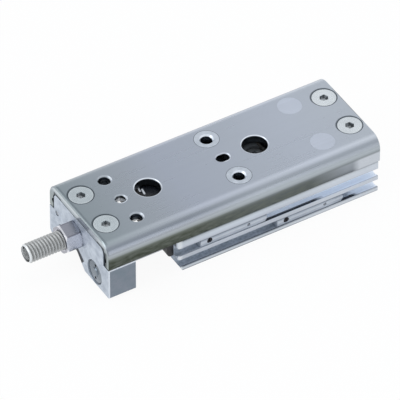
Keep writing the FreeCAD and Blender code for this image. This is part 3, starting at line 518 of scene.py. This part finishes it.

# %% Inside, ends and edges of the table
# Painted shade on the inner walls and the underside of the table, and on the inner walls of its
# channel.
inside = times(tree, fall(tree, z, top_z - 0.55, top_z - 0.3), fall(tree, aside, 12.2, 12.5))
channel = times(tree, fall(tree, z, 17.65, 17.72), fall(tree, aside, 14.7, 14.9),
                most(tree, rise(tree, y, 0.0, 0.1), fall(tree, x, 41.0, 42.0)))
colour = blend_colours(tree, most(tree, inside, channel), colour, seen(70, 76, 82))
pin_wall = times(tree, fall(tree, distance(tree, x, y, (front_hole_x, 0.0)), 1.9, 2.0),
                 fall(tree, z, 18.5, 18.9))
colour = blend_colours(tree, pin_wall, colour, seen(246, 249, 252))
tree.links.new(arithmetic(tree, "MULTIPLY_ADD", pin_wall, -0.9, 1.0), shader.inputs["Metallic"])
# Painted light and shade on the front end face: lighter across its upper middle, darker at its top
# edge and lower down.
front_end = rise(tree, x, table_high[0] - 0.06, table_high[0] - 0.02)
end_tone = ramp(tree, z, [(11.8, seen(150, 160, 160)), (16.2, seen(150, 160, 163)),
                          (17.6, seen(156, 166, 172)), (18.2, seen(168, 177, 183)),
                          (18.8, seen(194, 203, 209)), (19.4, seen(200, 209, 214)),
                          (19.7, seen(176, 186, 190)), (20.0, seen(168, 178, 182))])
colour = blend_colours(tree, front_end, colour, end_tone)
rear_end = fall(tree, x, table_low[0] + 0.02, table_low[0] + 0.06)
colour = blend_colours(tree, rear_end, colour, seen(150, 157, 166))
# Painted light: the lip of the front edge is painted to give a thin pale highlight line. Painted
# shade: a dark line lies just behind it.
lip = times(tree, rise(tree, x, table_high[0] - 0.32, table_high[0] - 0.22), on_top)
colour = blend_colours(tree, times(tree, lip, 0.6), colour, seen(150, 160, 164))
shade_behind_lip = times(tree, between(tree, x, table_high[0] - 0.95, table_high[0] - 0.5, 0.12), on_top)
colour = blend_colours(tree, times(tree, shade_behind_lip, 0.6), colour, on_card(108, 118, 125))
# Painted shade on the inner part of the near flank's front end, and on the lower strip of the
# table's front end, above the end plate.
inner_end = times(tree, front_end, fall(tree, y, 15.35, 15.5), rise(tree, y, 0.0, 0.1),
                  fall(tree, z, 16.9, 17.2))
under_edge = times(tree, front_end, between(tree, aside, 10.2, 14.0, 0.3),
                   fall(tree, z, 18.0, 18.15))
colour = blend_colours(tree, most(tree, inner_end, under_edge), colour, seen(60, 70, 75))
rear_line = times(tree, fall(tree, x, table_low[0] + 0.30, table_low[0] + 0.42), on_top,
                  between(tree, y, -8.0, 7.0, 2.0))
colour = blend_colours(tree, times(tree, rear_line, 0.8), colour, on_card(84, 86, 88))
paint(tree, shader, colour, tone)
dress(material, "table")
print("table ends at X in mm:", round(table_low[0], 2), round(table_high[0], 2))

# %% [markdown]
# ## The discs in the table
#
# Two steel inserts carry the middle pair of tapped holes, and two blank plugs fill the rear
# bores. They are ground flush with the table but are of another steel, and so are lighter. A
# thin crescent of light lies on the edge of the hole in each insert.

# %% Inserts and plugs
material, tree, shader, tone = metal("insert_steel", (0.26, 0.38), (0.03, 1.3, 1.3), 0.0015,
                                     cloud=0.3, depth=0.05)
x, y, z, aside = place(tree)
cloud = noise(tree, (0.5, 0.5, 0.5))
colour = blend_colours(tree, spread(tree, cloud, 0.0, 1.0), on_card(177, 185, 195),
                       on_card(193, 200, 210))
for side in (1.0, -1.0):
    edge = crescent(tree, (mid_x, hole_y * side), 1.90, 0.16)
    colour = blend_colours(tree, times(tree, edge, 0.6), colour, on_card(222, 230, 238))
# Painted shade inside the hole of each insert.
colour = blend_colours(tree, fall(tree, z, top_z - 0.75, top_z - 0.5), colour, seen(36, 42, 50))
paint(tree, shader, colour, tone)
insert_steel = material
dress(insert_steel, "table_inserts")
plug_steel = plain_metal("plug_steel", on_card(184, 191, 204), (0.30, 0.42), (0.03, 1.3, 1.3),
                         relief=0.0015, cloud=0.15, depth=0.05)
dress(plug_steel, "table_plugs")
print("insert radius in mm:", round(disc_radius, 2))

# %% [markdown]
# ## The aluminium parts
#
# The body and the end plate are aluminium with a clear anodised layer, which is matt and
# slightly blue. The recipe is only partly metallic: the rest is a pale body colour that takes
# the light of the room. Little light gets into the switch slots, and metal would look black
# there, so their insides are painted paler and less metallic, and still look darker than the
# faces. The near side of the body carries painted bands of light and shade, and painted
# shadows lie in the slots behind the switches. The end plate is milled on its front; its sides
# are painted darker, as shade, so that the front is its brightest face. Its edges and holes
# carry painted highlights and shade, and a painted shadow lies beside the notch in its lower
# edge.

# %% Body
body_low, body_high = box_of("cylinder_body")
material, tree, shader, tone = metal("body_aluminium", (0.34, 0.50), (0.04, 4.0, 4.0),
                                     0.005, metallic=0.8, depth=0.10)
x, y, z, aside = place(tree)
near_face = rise(tree, y, body_high[1] - 0.35, body_high[1] - 0.25)
# Painted light and shade on the near side, by height: a dark line of shadow at the foot, a pale
# band, darker lines at the edges of the slots, and a dark line of shade under the table.
side_tone = ramp(tree, z, [(0.0, seen(122, 127, 136)), (0.35, seen(140, 146, 154)),
                           (0.6, seen(196, 203, 210)), (1.1, seen(196, 203, 210)),
                           (1.35, seen(128, 136, 146)), (1.6, seen(112, 120, 132)),
                           (4.4, seen(180, 187, 197)), (5.8, seen(186, 193, 203)),
                           (8.6, seen(176, 183, 193)), (9.1, seen(190, 197, 208)),
                           (10.2, seen(198, 206, 216)), (10.85, seen(182, 190, 198)),
                           (11.3, seen(104, 112, 118))])
# Painted light: the near side is lighter towards the rear and at the front corner.
rear_light = times(tree, fall(tree, x, -30.0, -8.0), 0.55)
side_tone = blend_colours(tree, rear_light, side_tone, seen(208, 214, 222))
corner_light = rise(tree, x, body_high[0] - 1.9, body_high[0] - 1.0)
side_tone = blend_colours(tree, times(tree, corner_light, 0.7), side_tone, seen(226, 231, 236))
colour = blend_colours(tree, near_face, seen(206, 214, 224), side_tone)
print("near side at Y in mm:", round(body_high[1], 2))

# %% Switch slots of the body
nick = noise(tree, (1.2, 1.2, 1.2), detail=4.0)
in_slot = times(tree, fall(tree, y, body_high[1] - 0.40, body_high[1] - 0.30),
                rise(tree, y, body_high[1] - 4.8, body_high[1] - 4.6),
                between(tree, z, 1.05, 9.15, 0.02))
slot_tone = blend_colours(tree, spread(tree, nick, 0.0, 1.0), seen(160, 171, 184),
                          seen(196, 205, 217))
lit = most(tree, times(tree, rise(tree, z, 4.9, 5.1), fall(tree, x, -9.0, -8.0)),
           fall(tree, x, -37.5, -35.5))
slot_tone = blend_colours(tree, lit, slot_tone, seen(236, 244, 255))
colour = blend_colours(tree, in_slot, colour, slot_tone)
# Painted shadows: dark strips in the upper slot behind the upper switch and in the lower slot
# behind the lower switch.
upper_slot_shadow = times(tree, between(tree, z, 5.0, 6.6, 0.2), between(tree, x, -24.0, -7.0, 3.0))
lower_slot_shadow = times(tree, between(tree, z, 1.0, 2.4, 0.2), between(tree, x, -37.0, -33.0, 1.5))
gap = times(tree, most(tree, upper_slot_shadow, lower_slot_shadow), between(tree, y, 14.95, 16.2, 0.12))
colour = blend_colours(tree, gap, colour, seen(22, 28, 40))
tree.links.new(arithmetic(tree, "MULTIPLY_ADD", in_slot, -0.7, 0.8), shader.inputs["Metallic"])
paint(tree, shader, colour, tone)
dress(material, "cylinder_body")
print("body in mm:", body_low, body_high)

# %% End plate
plate_low, plate_high = box_of("end_plate")
ledge_z = 11.4
material, tree, shader, tone = metal("plate_aluminium", (0.36, 0.52), (2.0, 0.06, 2.0),
                                     0.005, metallic=0.8, depth=0.08)
x, y, z, aside = place(tree)
cloud = noise(tree, (0.45, 0.45, 0.45), detail=5.0)
front_tone = blend_colours(tree, spread(tree, cloud, 0.0, 1.0), seen(172, 182, 195),
                           seen(200, 209, 220))
# Painted shade: the sides are darker than the milled front.
side_tone = blend_colours(tree, spread(tree, cloud, 0.0, 1.0), seen(121, 133, 144),
                          seen(131, 139, 151))
front_face = rise(tree, x, plate_high[0] - 0.06, plate_high[0] - 0.02)
colour = blend_colours(tree, front_face, side_tone, front_tone)
# Painted highlights on the chamfered edges of the foot.
flat_foot = fall(tree, z, ledge_z - 0.02, ledge_z + 0.02)
bright_edge = times(tree, rise(tree, z, ledge_z - 0.32, ledge_z - 0.24), flat_foot,
                    rise(tree, aside, plate_high[1] - 0.3, plate_high[1] - 0.24))
corner_line = times(tree, rise(tree, x, plate_high[0] - 0.35, plate_high[0] - 0.28), flat_foot,
                    rise(tree, aside, plate_high[1] - 0.3, plate_high[1] - 0.2))
colour = blend_colours(tree, most(tree, bright_edge, corner_line), colour, seen(216, 223, 233))
# Painted shade on the faces of the neck under the table, apart from its front.
colour = blend_colours(tree, rise(tree, z, ledge_z + 0.02, ledge_z + 0.06), colour,
                       blend_colours(tree, front_face, seen(44, 52, 62), front_tone))
# Painted light on the far side of the plate, behind its front face.
far_side = fall(tree, y, -13.5, -13.0)
colour = blend_colours(tree, times(tree, far_side, fall(tree, x, plate_high[0] - 0.1,
                                                        plate_high[0] - 0.06)), colour,
                       seen(176, 186, 196))
print("milled face at X in mm:", round(plate_high[0], 2))

# %% Holes and notch of the end plate
rod_place = (8.5, 4.8)
notch_place = (-2.0, 1.5)
small_hole_place = (-12.5, 10.9)
deep = fall(tree, x, plate_high[0] - 0.40, plate_high[0] - 0.25)
# Painted light on the wall of the rod hole, which is also made less metallic.
rod_hole = fall(tree, distance(tree, aside, z, rod_place), 4.35, 4.4)
colour = blend_colours(tree, times(tree, deep, rod_hole), colour, seen(150, 160, 172))
# Painted shade on the walls inside the notch.
notch = times(tree, fall(tree, distance(tree, y, z, notch_place), 4.2, 4.4),
              fall(tree, x, plate_high[0] - 0.12, plate_high[0] - 0.06))
colour = blend_colours(tree, notch, colour, seen(52, 58, 70))
# Painted light on the wall of the small hole, which is painted white and made less metallic.
small_hole = times(tree, fall(tree, distance(tree, y, z, small_hole_place), 0.95, 1.0), deep)
colour = blend_colours(tree, small_hole, colour, seen(250, 252, 255))
holes = most(tree, times(tree, deep, rod_hole), small_hole)
tree.links.new(arithmetic(tree, "MULTIPLY_ADD", holes, -0.7, 0.8), shader.inputs["Metallic"])
# Painted shadow: a dark line beside the notch in the lower edge.
across = arithmetic(tree, "ADD", times(tree, y, 0.6), times(tree, z, 0.8))
along = arithmetic(tree, "SUBTRACT", times(tree, y, 0.8), times(tree, z, 0.6))
notch_shadow = times(tree, fall(tree, across, 4.8, 5.1), between(tree, along, -4.6, -0.6, 0.25))
colour = blend_colours(tree, notch_shadow, colour, seen(40, 46, 56))
paint(tree, shader, colour, tone)
dress(material, "end_plate")
print("end plate in mm:", plate_low, plate_high)

# %% [markdown]
# ## Screws, nuts and rods
#
# The countersunk screws are nickel plated and bright. Their sockets are painted dark as
# shade, with a painted glint of light in the middle, and the brim of each head has a painted
# highlight. The height and the distance from each screw's axis drive that, and the distance
# also gives the faint circles that a lathe leaves. The other small steel parts use the same
# recipe without a centre, because their faces are too small to show one. The rod ends are
# painted darker towards the top, as shade. The flats of the lock nut that face upwards are
# painted lighter than the rest, as light and shade fall on them, and the angle round its axis
# tells them apart; its corners carry painted shade and its turned chamfer a painted highlight.

# %% Bright screws
def screw_metal(name, node, head_colour):
    """Turned metal for two equal screws, one at each side of the middle plane."""
    low, high = box_of(node)
    head = (high[0] - low[0]) / 2
    centre = ((low[0] + high[0]) / 2, high[1] - head)
    material, tree, shader, tone = metal(name, (0.18, 0.30), (0.3, 0.3, 0.3), 0.001)
    x, y, z, aside = place(tree)
    radius = distance(tree, x, aside, centre)
    circles = add_node(tree, "ShaderNodeTexNoise", noise_dimensions="1D", detail=3.0)
    circles.inputs["Scale"].default_value = 5.0
    tree.links.new(radius, circles.inputs["W"])
    colour = blend_colours(tree, spread(tree, circles.outputs["Fac"], 0.0, 1.0),
                           tuple(c * 0.84 for c in head_colour), head_colour)
    # Painted shade in the socket, with a painted glint of light in its middle.
    socket = times(tree, fall(tree, z, high[2] - 0.35, high[2] - 0.15),
                   fall(tree, radius, head * 0.62, head * 0.66))
    glint = times(tree, fall(tree, radius, head * 0.30, head * 0.40),
                  rise(tree, noise(tree, (0.9, 0.9, 0.4), detail=1.0), 0.40, 0.52))
    depths = blend_colours(tree, glint, seen(92, 97, 101), seen(206, 211, 215))
    colour = blend_colours(tree, socket, colour, depths)
    tree.links.new(arithmetic(tree, "MULTIPLY_ADD", socket, -0.6, 1.0), shader.inputs["Metallic"])
    # A painted highlight on the brim of the head.
    brim_highlight = times(tree, rise(tree, radius, head - 0.35, head - 0.2),
                 rise(tree, z, high[2] - 0.3, high[2] - 0.1))
    colour = blend_colours(tree, times(tree, brim_highlight, 0.4), colour, on_card(214, 221, 226))
    paint(tree, shader, colour, tone)
    dress(material, node)
    print(name, "centre in mm:", [round(c, 2) for c in centre], "head radius:", round(head, 2))
    return material


screw_metal("front_screw_steel", "end_plate_screws", on_card(188, 197, 202))
screw_metal("rear_screw_steel", "rear_block_screws", on_card(216, 222, 227))
small_steel = plain_metal("small_screw_steel", seen(150, 154, 158), (0.25, 0.40), (1.5, 1.5, 1.5))
dress(small_steel, "front_plate_screws", "return_cap_screws", "piston_screws",
      "rod_washers", "guide_block_screws")

# %% Piston rods
rod_box = box_of("piston_rods")
material, tree, shader, tone = metal("rod_chrome", (0.16, 0.28), (2.0, 0.3, 0.3), 0.002,
                                     cloud=0.2)
x, y, z, aside = place(tree)
# Painted shade on the rod ends: darker towards the top, lighter low down.
front_tone = ramp(tree, z, [(1.3, seen(150, 157, 167)), (3.5, seen(126, 136, 146)),
                            (6.4, seen(112, 123, 134)), (8.3, seen(96, 108, 120))])
colour = blend_colours(tree, rise(tree, x, rod_box[1][0] - 0.5, rod_box[1][0] - 0.4),
                       seen(176, 180, 188), front_tone)
paint(tree, shader, colour, tone)
dress(material, "piston_rods", "rod_nuts")
print("rod ends at X in mm:", round(rod_box[1][0], 2))

# %% Balls, guide and turned parts
ball_steel = plain_metal("ball_steel", seen(205, 207, 210), (0.08, 0.16), (0.8, 0.8, 0.8), 0.001)
dress(ball_steel, "near_balls", "far_balls")
guide_steel = plain_metal("guide_steel", seen(178, 180, 184), (0.24, 0.36), (0.05, 5.0, 5.0))
dress(guide_steel, "guide_block", "rear_block")
ring_steel = plain_metal("ring_steel", seen(84, 84, 88), (0.30, 0.45), (1.0, 1.0, 1.0))
dress(ring_steel, "retaining_rings")
turned_aluminium = plain_metal("turned_aluminium", seen(196, 198, 203), (0.30, 0.44),
                               (5.0, 0.4, 0.4), metallic=0.8)
dress(turned_aluminium, "pistons", "head_plugs", "rod_covers")
black_steel = plain_metal("black_steel", seen(48, 48, 54), (0.35, 0.50), (1.2, 1.2, 1.2))
dress(black_steel, "upper_switch_screw", "lower_switch_screw")
print("metals so far:", len([m for m in bpy.data.materials if m.users]))

# %% Lock nut
nut_low, nut_high = box_of("lock_nut")
nut_y, nut_z = (nut_low[1] + nut_high[1]) / 2, (nut_low[2] + nut_high[2]) / 2
nut_split = 45.0
material, tree, shader, tone = metal("nut_steel", (0.22, 0.34), (0.2, 0.8, 0.8), 0.0008,
                                     cloud=0.25, depth=0.05)
x, y, z, aside = place(tree)
radius = distance(tree, y, z, (nut_y, nut_z))
bearing = arithmetic(tree, "ARCTAN2", arithmetic(tree, "SUBTRACT", z, nut_z),
                     arithmetic(tree, "SUBTRACT", y, nut_y))
# Painted light and shade: the flats that face upwards are lighter than the rest.
lit_upper_flat = between(tree, times(tree, bearing, 180 / math.pi), nut_split, nut_split + 60.0, 1.5)
colour = blend_colours(tree, lit_upper_flat, seen(222, 222, 230), seen(150, 153, 164))
# Painted shade on the corners of the nut.
edges = rise(tree, radius, 4.46, 4.54)
colour = blend_colours(tree, times(tree, edges, 0.6), colour, seen(112, 110, 122))
# A painted highlight on the turned chamfer of the front.
turned = times(tree, rise(tree, x, nut_high[0] - 0.62, nut_high[0] - 0.50),
               rise(tree, radius, 3.8, 3.95))
colour = blend_colours(tree, times(tree, turned, 0.8), colour, seen(232, 234, 240))
front = rise(tree, x, nut_high[0] - 0.05, nut_high[0] - 0.02)
colour = blend_colours(tree, front, colour, seen(168, 169, 178))
paint(tree, shader, colour, tone)
dress(material, "lock_nut")
print("nut axis in mm:", round(nut_y, 2), round(nut_z, 2))

# %% [markdown]
# ## Plastic and rubber
#
# The return caps and the front plate are moulded in dark resin, the wipers and seals are
# rubber, the two cushions are urethane, and the switches are a pale grey resin. Moulded
# surfaces have a fine even grain and no direction, so a round noise gives their bump. The
# rubber is rougher and a little dusty. Two streaks of light on the front cap, which are seen
# through an access hole in the table, are a part of its colour.

# %% The moulded recipe
def moulded(name, dark, light, gloss, grain=3.0, relief=0.02, coat=0.0):
    """A moulded plastic or rubber with a fine round grain."""
    material, tree = new_material(name)
    fine = noise(tree, (grain, grain, grain), detail=5.0)
    slow = noise(tree, (0.15, 0.15, 0.15), detail=2.0)
    colour = blend_colours(tree, spread(tree, slow, 0.0, 1.0), dark, light)
    shader = add_node(tree, "ShaderNodeBsdfPrincipled", coat_weight=coat)
    tree.links.new(spread(tree, fine, gloss[0], gloss[1]), shader.inputs["Roughness"])
    bump = add_node(tree, "ShaderNodeBump", strength=0.5, distance=relief * mm)
    tree.links.new(fine, bump.inputs["Height"])
    tree.links.new(bump.outputs["Normal"], shader.inputs["Normal"])
    tree.links.new(colour, shader.inputs["Base Color"])
    out = add_node(tree, "ShaderNodeOutputMaterial")
    tree.links.new(shader.outputs[0], out.inputs["Surface"])
    return material, tree, shader, colour


# %% Resins, rubber and urethane
dress(moulded("black_resin", seen(14, 15, 18), seen(24, 25, 29), (0.30, 0.50))[0], "front_plate")
dress(moulded("grey_resin", seen(40, 43, 47), seen(60, 64, 68), (0.30, 0.50))[0],
      "rear_return_cap")
cap_material, tree, shader, colour = moulded("cap_resin", seen(20, 23, 29), seen(30, 33, 40),
                                             (0.22, 0.40))
x, y, z, aside = place(tree)
glints = []
leaning_x = arithmetic(tree, "MULTIPLY_ADD", y, -0.18, x)
streaks = ((23.75, -3.7), (22.9, -2.1))
for middle_x, middle_y in streaks:
    glints.append(times(tree, between(tree, leaning_x, middle_x - 0.22, middle_x + 0.22, 0.1),
                        between(tree, y, middle_y - 1.0, middle_y + 1.0, 0.3)))
colour = blend_colours(tree, most(tree, *glints), colour, seen(225, 230, 238))
tree.links.new(colour, shader.inputs["Base Color"])
dress(cap_material, "front_return_cap")
dress(moulded("black_rubber", seen(22, 22, 22), seen(44, 43, 42), (0.60, 0.80))[0],
      "front_wiper", "rear_wiper", "rod_seals", "rod_cover_o_rings", "head_plug_o_rings",
      "piston_seals")
dress(moulded("urethane", seen(150, 118, 70), seen(172, 140, 88), (0.35, 0.50), coat=0.2)[0],
      "adjuster_tip", "rear_bumper")
dress(moulded("bonded_magnet", seen(62, 60, 58), seen(88, 86, 84), (0.55, 0.70))[0],
      "piston_magnets")
print("streaks on the front cap:", len(glints))

# %% Switch housings
switch_material, tree, shader, colour = moulded("switch_resin", seen(158, 167, 179),
                                                seen(182, 190, 201), (0.40, 0.55), grain=1.5,
                                                relief=0.01)
x, y, z, aside = place(tree)
# Painted shadow: a dark band under the lip at the top of each switch. Painted light: a pale band
# across its middle.
gap_shadows, lights = [], []
for name in ("upper_switch", "lower_switch"):
    low, high = box_of(name)
    middle = (low[2] + high[2]) / 2
    gap_shadows.append(between(tree, z, middle + 0.78, middle + 1.6, 0.1))
    lights.append(between(tree, z, middle - 0.2, middle + 0.3, 0.15))
colour = blend_colours(tree, times(tree, most(tree, *lights), 0.6), colour, seen(200, 206, 214))
colour = blend_colours(tree, times(tree, most(tree, *gap_shadows), 0.85), colour, seen(116, 124, 136))
tree.links.new(colour, shader.inputs["Base Color"])
dress(switch_material, "upper_switch", "lower_switch")
print("gap lines on the switches:", len(gap_shadows))

# %% [markdown]
# ## The adjuster's thread
#
# The stroke is set by a threaded bolt, and its thread is what the eye checks first. The CAD
# model has plain rings there. A real thread is a helix, which a spin makes when it also moves
# a little along its axis at every step: one V-shaped outline, one pitch long, is turned round
# the axis and climbs as it turns. Neighbouring turns meet edge to edge and are merged.

# %% Helpers for finished pieces
def finish_piece(name, bm, material, body, replaced=()):
    """Turns a bmesh into a piece that rides on a body."""
    bmesh.ops.recalc_face_normals(bm, faces=bm.faces)
    mesh = bpy.data.meshes.new(name)
    bm.to_mesh(mesh)
    bm.free()
    mesh.materials.append(material)
    piece = bpy.data.objects.new(name, mesh)
    scene.collection.objects.link(piece)
    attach(piece, body)
    if replaced:
        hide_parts(*replaced)
    print(name, len(mesh.vertices), "vertices", len(mesh.polygons), "faces")
    return piece


def helix(bm, start, length, root, crest, pitch, steps=28, flat=0.12):
    """A thread along +X from a point on its axis. root and crest are radii."""
    start = Vector(start)
    outline = ((0.0, root), (pitch * (0.5 - flat), crest), (pitch * (0.5 + flat), crest),
               (pitch, root))
    corners = [bm.verts.new(start + Vector((along, 0, radius))) for along, radius in outline]
    edges = [bm.edges.new(pair) for pair in zip(corners, corners[1:])]
    turns = math.ceil(length / pitch)
    bmesh.ops.spin(bm, geom=corners + edges, cent=start, axis=(1, 0, 0),
                   dvec=(pitch / steps, 0, 0), angle=2 * math.pi * turns, steps=steps * turns)
    bmesh.ops.remove_doubles(bm, verts=bm.verts, dist=pitch / 200)


def trim(bm, x, keep_below):
    """Cuts a mesh at a plane across X, and throws one side away."""
    bmesh.ops.bisect_plane(bm, geom=bm.verts[:] + bm.edges[:] + bm.faces[:],
                           plane_co=(x, 0, 0), plane_no=(1, 0, 0),
                           clear_outer=keep_below, clear_inner=not keep_below)


def rim_at(bm, x):
    return [e for e in bm.edges if e.is_boundary and all(abs(v.co.x - x) < 1e-7 for v in e.verts)]


# %% The adjuster bolt
bolt_low, bolt_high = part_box("adjuster_bolt")
bolt_axis = (bolt_low + bolt_high) / 2
bolt_radius = (bolt_high.z - bolt_low.z) / 2
pitch = 1.0 * mm
thread_depth = 0.44 * mm
bolt_chamfer = 0.5 * mm
socket_flats = 3.0 * mm
socket_depth = 3.5 * mm
tip_hole = 1.65 * mm
tip_hole_depth = 2.5 * mm

bm = bmesh.new()
helix_start = (bolt_low.x - 1.5 * pitch, bolt_axis.y, bolt_axis.z)
helix(bm, helix_start, bolt_high.x - bolt_low.x + 3 * pitch, bolt_radius - thread_depth,
      bolt_radius, pitch)
for vertex in bm.verts:
    past = vertex.co.x - (bolt_high.x - bolt_chamfer)
    before = bolt_low.x + bolt_chamfer - vertex.co.x
    arm = vertex.co - Vector((vertex.co.x, bolt_axis.y, bolt_axis.z))
    limit = bolt_radius - max(past, before, 0)
    if arm.length > limit:
        vertex.co -= arm * (1 - max(limit, bolt_radius / 3) / arm.length)
trim(bm, bolt_high.x, True)
trim(bm, bolt_low.x, False)


def close_end(bm, x, inner_radius, corners, depth):
    """Closes an open end with a face that has a blind hole in it."""
    circle = bmesh.ops.create_circle(bm, segments=corners, radius=inner_radius)["verts"]
    turn = Matrix.Translation((x, bolt_axis.y, bolt_axis.z)) @ Matrix.Rotation(math.pi / 2, 4, "Y")
    bmesh.ops.transform(bm, matrix=turn, verts=circle)
    loop = [e for e in bm.edges if all(v in circle for v in e.verts)]
    bmesh.ops.bridge_loops(bm, edges=rim_at(bm, x))
    walls = bmesh.ops.extrude_edge_only(bm, edges=loop)["geom"]
    deep = [v for v in walls if isinstance(v, bmesh.types.BMVert)]
    bmesh.ops.translate(bm, vec=(depth, 0, 0), verts=deep)
    bmesh.ops.contextual_create(bm, geom=deep)


close_end(bm, bolt_high.x, socket_flats / math.sqrt(3), 6, -socket_depth)
close_end(bm, bolt_low.x, tip_hole, 18, tip_hole_depth)
material, tree, shader, tone = metal("adjuster_steel", (0.36, 0.50), (2.0, 1.0, 1.0), 0.002,
                                     metallic=0.75, cloud=0.25)
x, y, z, aside = place(tree)
axis_y, axis_z = bolt_axis.y / mm, bolt_axis.z / mm
radius = distance(tree, y, z, (axis_y, axis_z))
# Painted shade: the thread's roots are a little darker than its crests.
colour = ramp(tree, radius, [(2.3, seen(176, 178, 178)), (2.7, seen(172, 174, 174)),
                             (2.95, seen(178, 181, 183))])
end_x = bolt_high.x / mm
# A painted highlight on the end chamfer, and painted shade on the end face.
chamfer = rise(tree, x, end_x - 0.55, end_x - 0.40)
colour = blend_colours(tree, chamfer, colour, seen(222, 226, 229))
end_face = rise(tree, x, end_x - 0.04, end_x - 0.01)
colour = blend_colours(tree, end_face, colour, seen(120, 126, 130))
# Painted light: the socket and the tip hole are paler and less metallic.
socket = fall(tree, radius, 1.75, 1.8)
colour = blend_colours(tree, socket, colour, seen(200, 202, 202))
tree.links.new(arithmetic(tree, "MULTIPLY_ADD", socket, -0.6, 0.75), shader.inputs["Metallic"])
paint(tree, shader, colour, tone)
adjuster_steel = material
bolt = finish_piece("adjuster_thread", bm, adjuster_steel, "adjuster_bolt", ["adjuster_bolt"])

# %% [markdown]
# ## Threads in the tapped holes
#
# The four working holes in the table are tapped. Their CAD holes have the size of the drill,
# so the thread is added as a thin ridge that climbs the wall of each hole. It is the same
# spin as the bolt's, turned upright, with the ridge pointing inwards.

# %% Hole threads
def hole_thread(bm, x, y, low_z, high_z, radius, pitch, ridge, steps=28):
    """A ridge round the wall of an upright hole."""
    outline = ((low_z, radius), (low_z + pitch * 0.35, radius - ridge),
               (low_z + pitch * 0.5, radius - ridge), (low_z + pitch * 0.85, radius))
    corners = [bm.verts.new((x + r, y, z)) for z, r in outline]
    edges = [bm.edges.new(pair) for pair in zip(corners, corners[1:])]
    edges.append(bm.edges.new((corners[-1], corners[0])))
    turns = int((high_z - low_z) / pitch)
    bmesh.ops.spin(bm, geom=corners + edges, cent=(x, y, 0), axis=(0, 0, 1),
                   dvec=(0, 0, pitch / steps), angle=2 * math.pi * turns, steps=steps * turns)


core_radius = 1.655 * mm
tap_pitch = 0.7 * mm
tap_ridge = 0.14 * mm
thread_low = (insert_box[0][2] + 0.25) * mm
thread_high = (insert_box[1][2] - 0.3) * mm
bm = bmesh.new()
for hole_x in (mid_x, front_hole_x):
    for hole_side in (hole_y, -hole_y):
        hole_thread(bm, hole_x * mm, hole_side * mm, thread_low, thread_high, core_radius,
                    tap_pitch, tap_ridge)
# Painted shade: the threads in the holes are a dark steel.
shaded_thread_steel = plain_metal("shaded_thread_steel", seen(40, 46, 54), (0.3, 0.4), (1.5, 1.5, 1.5))
finish_piece("hole_threads", bm, shaded_thread_steel, "table")

# %% [markdown]
# ## The switch lamps
#
# Each switch has a tiny lamp in a round recess of its housing. Its lens is a low dome of grey
# resin, unlit here. A uv sphere cut in half is enough for it, because it is only a
# millimetre across.

# %% Lamps of the switches
lamp_resin = moulded("lamp_resin", seen(112, 116, 124), seen(136, 140, 148), (0.10, 0.20),
                     coat=0.6)[0]
lens_radius = 0.52 * mm
lens_recess = 0.53 * mm
lens_from_end = 16.0 * mm
for switch in ("upper_switch", "lower_switch"):
    low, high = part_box(switch)
    base_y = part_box("cylinder_body")[1].y - lens_recess
    centre = (high.x - lens_from_end, base_y, (low.z + high.z) / 2)
    bm = bmesh.new()
    bmesh.ops.create_uvsphere(bm, u_segments=24, v_segments=12, radius=lens_radius)
    flatten = Matrix.Diagonal((1.0, 0.5, 1.0, 1.0))
    bmesh.ops.transform(bm, matrix=Matrix.Translation(centre) @ flatten, verts=bm.verts)
    bmesh.ops.bisect_plane(bm, geom=bm.verts[:] + bm.edges[:] + bm.faces[:],
                           plane_co=(0, base_y, 0), plane_no=(0, 1, 0), clear_inner=True)
    bmesh.ops.holes_fill(bm, edges=bm.edges)
    lamp = finish_piece(switch + "_lamp", bm, lamp_resin, switch)
    for polygon in lamp.data.polygons:
        polygon.use_smooth = True
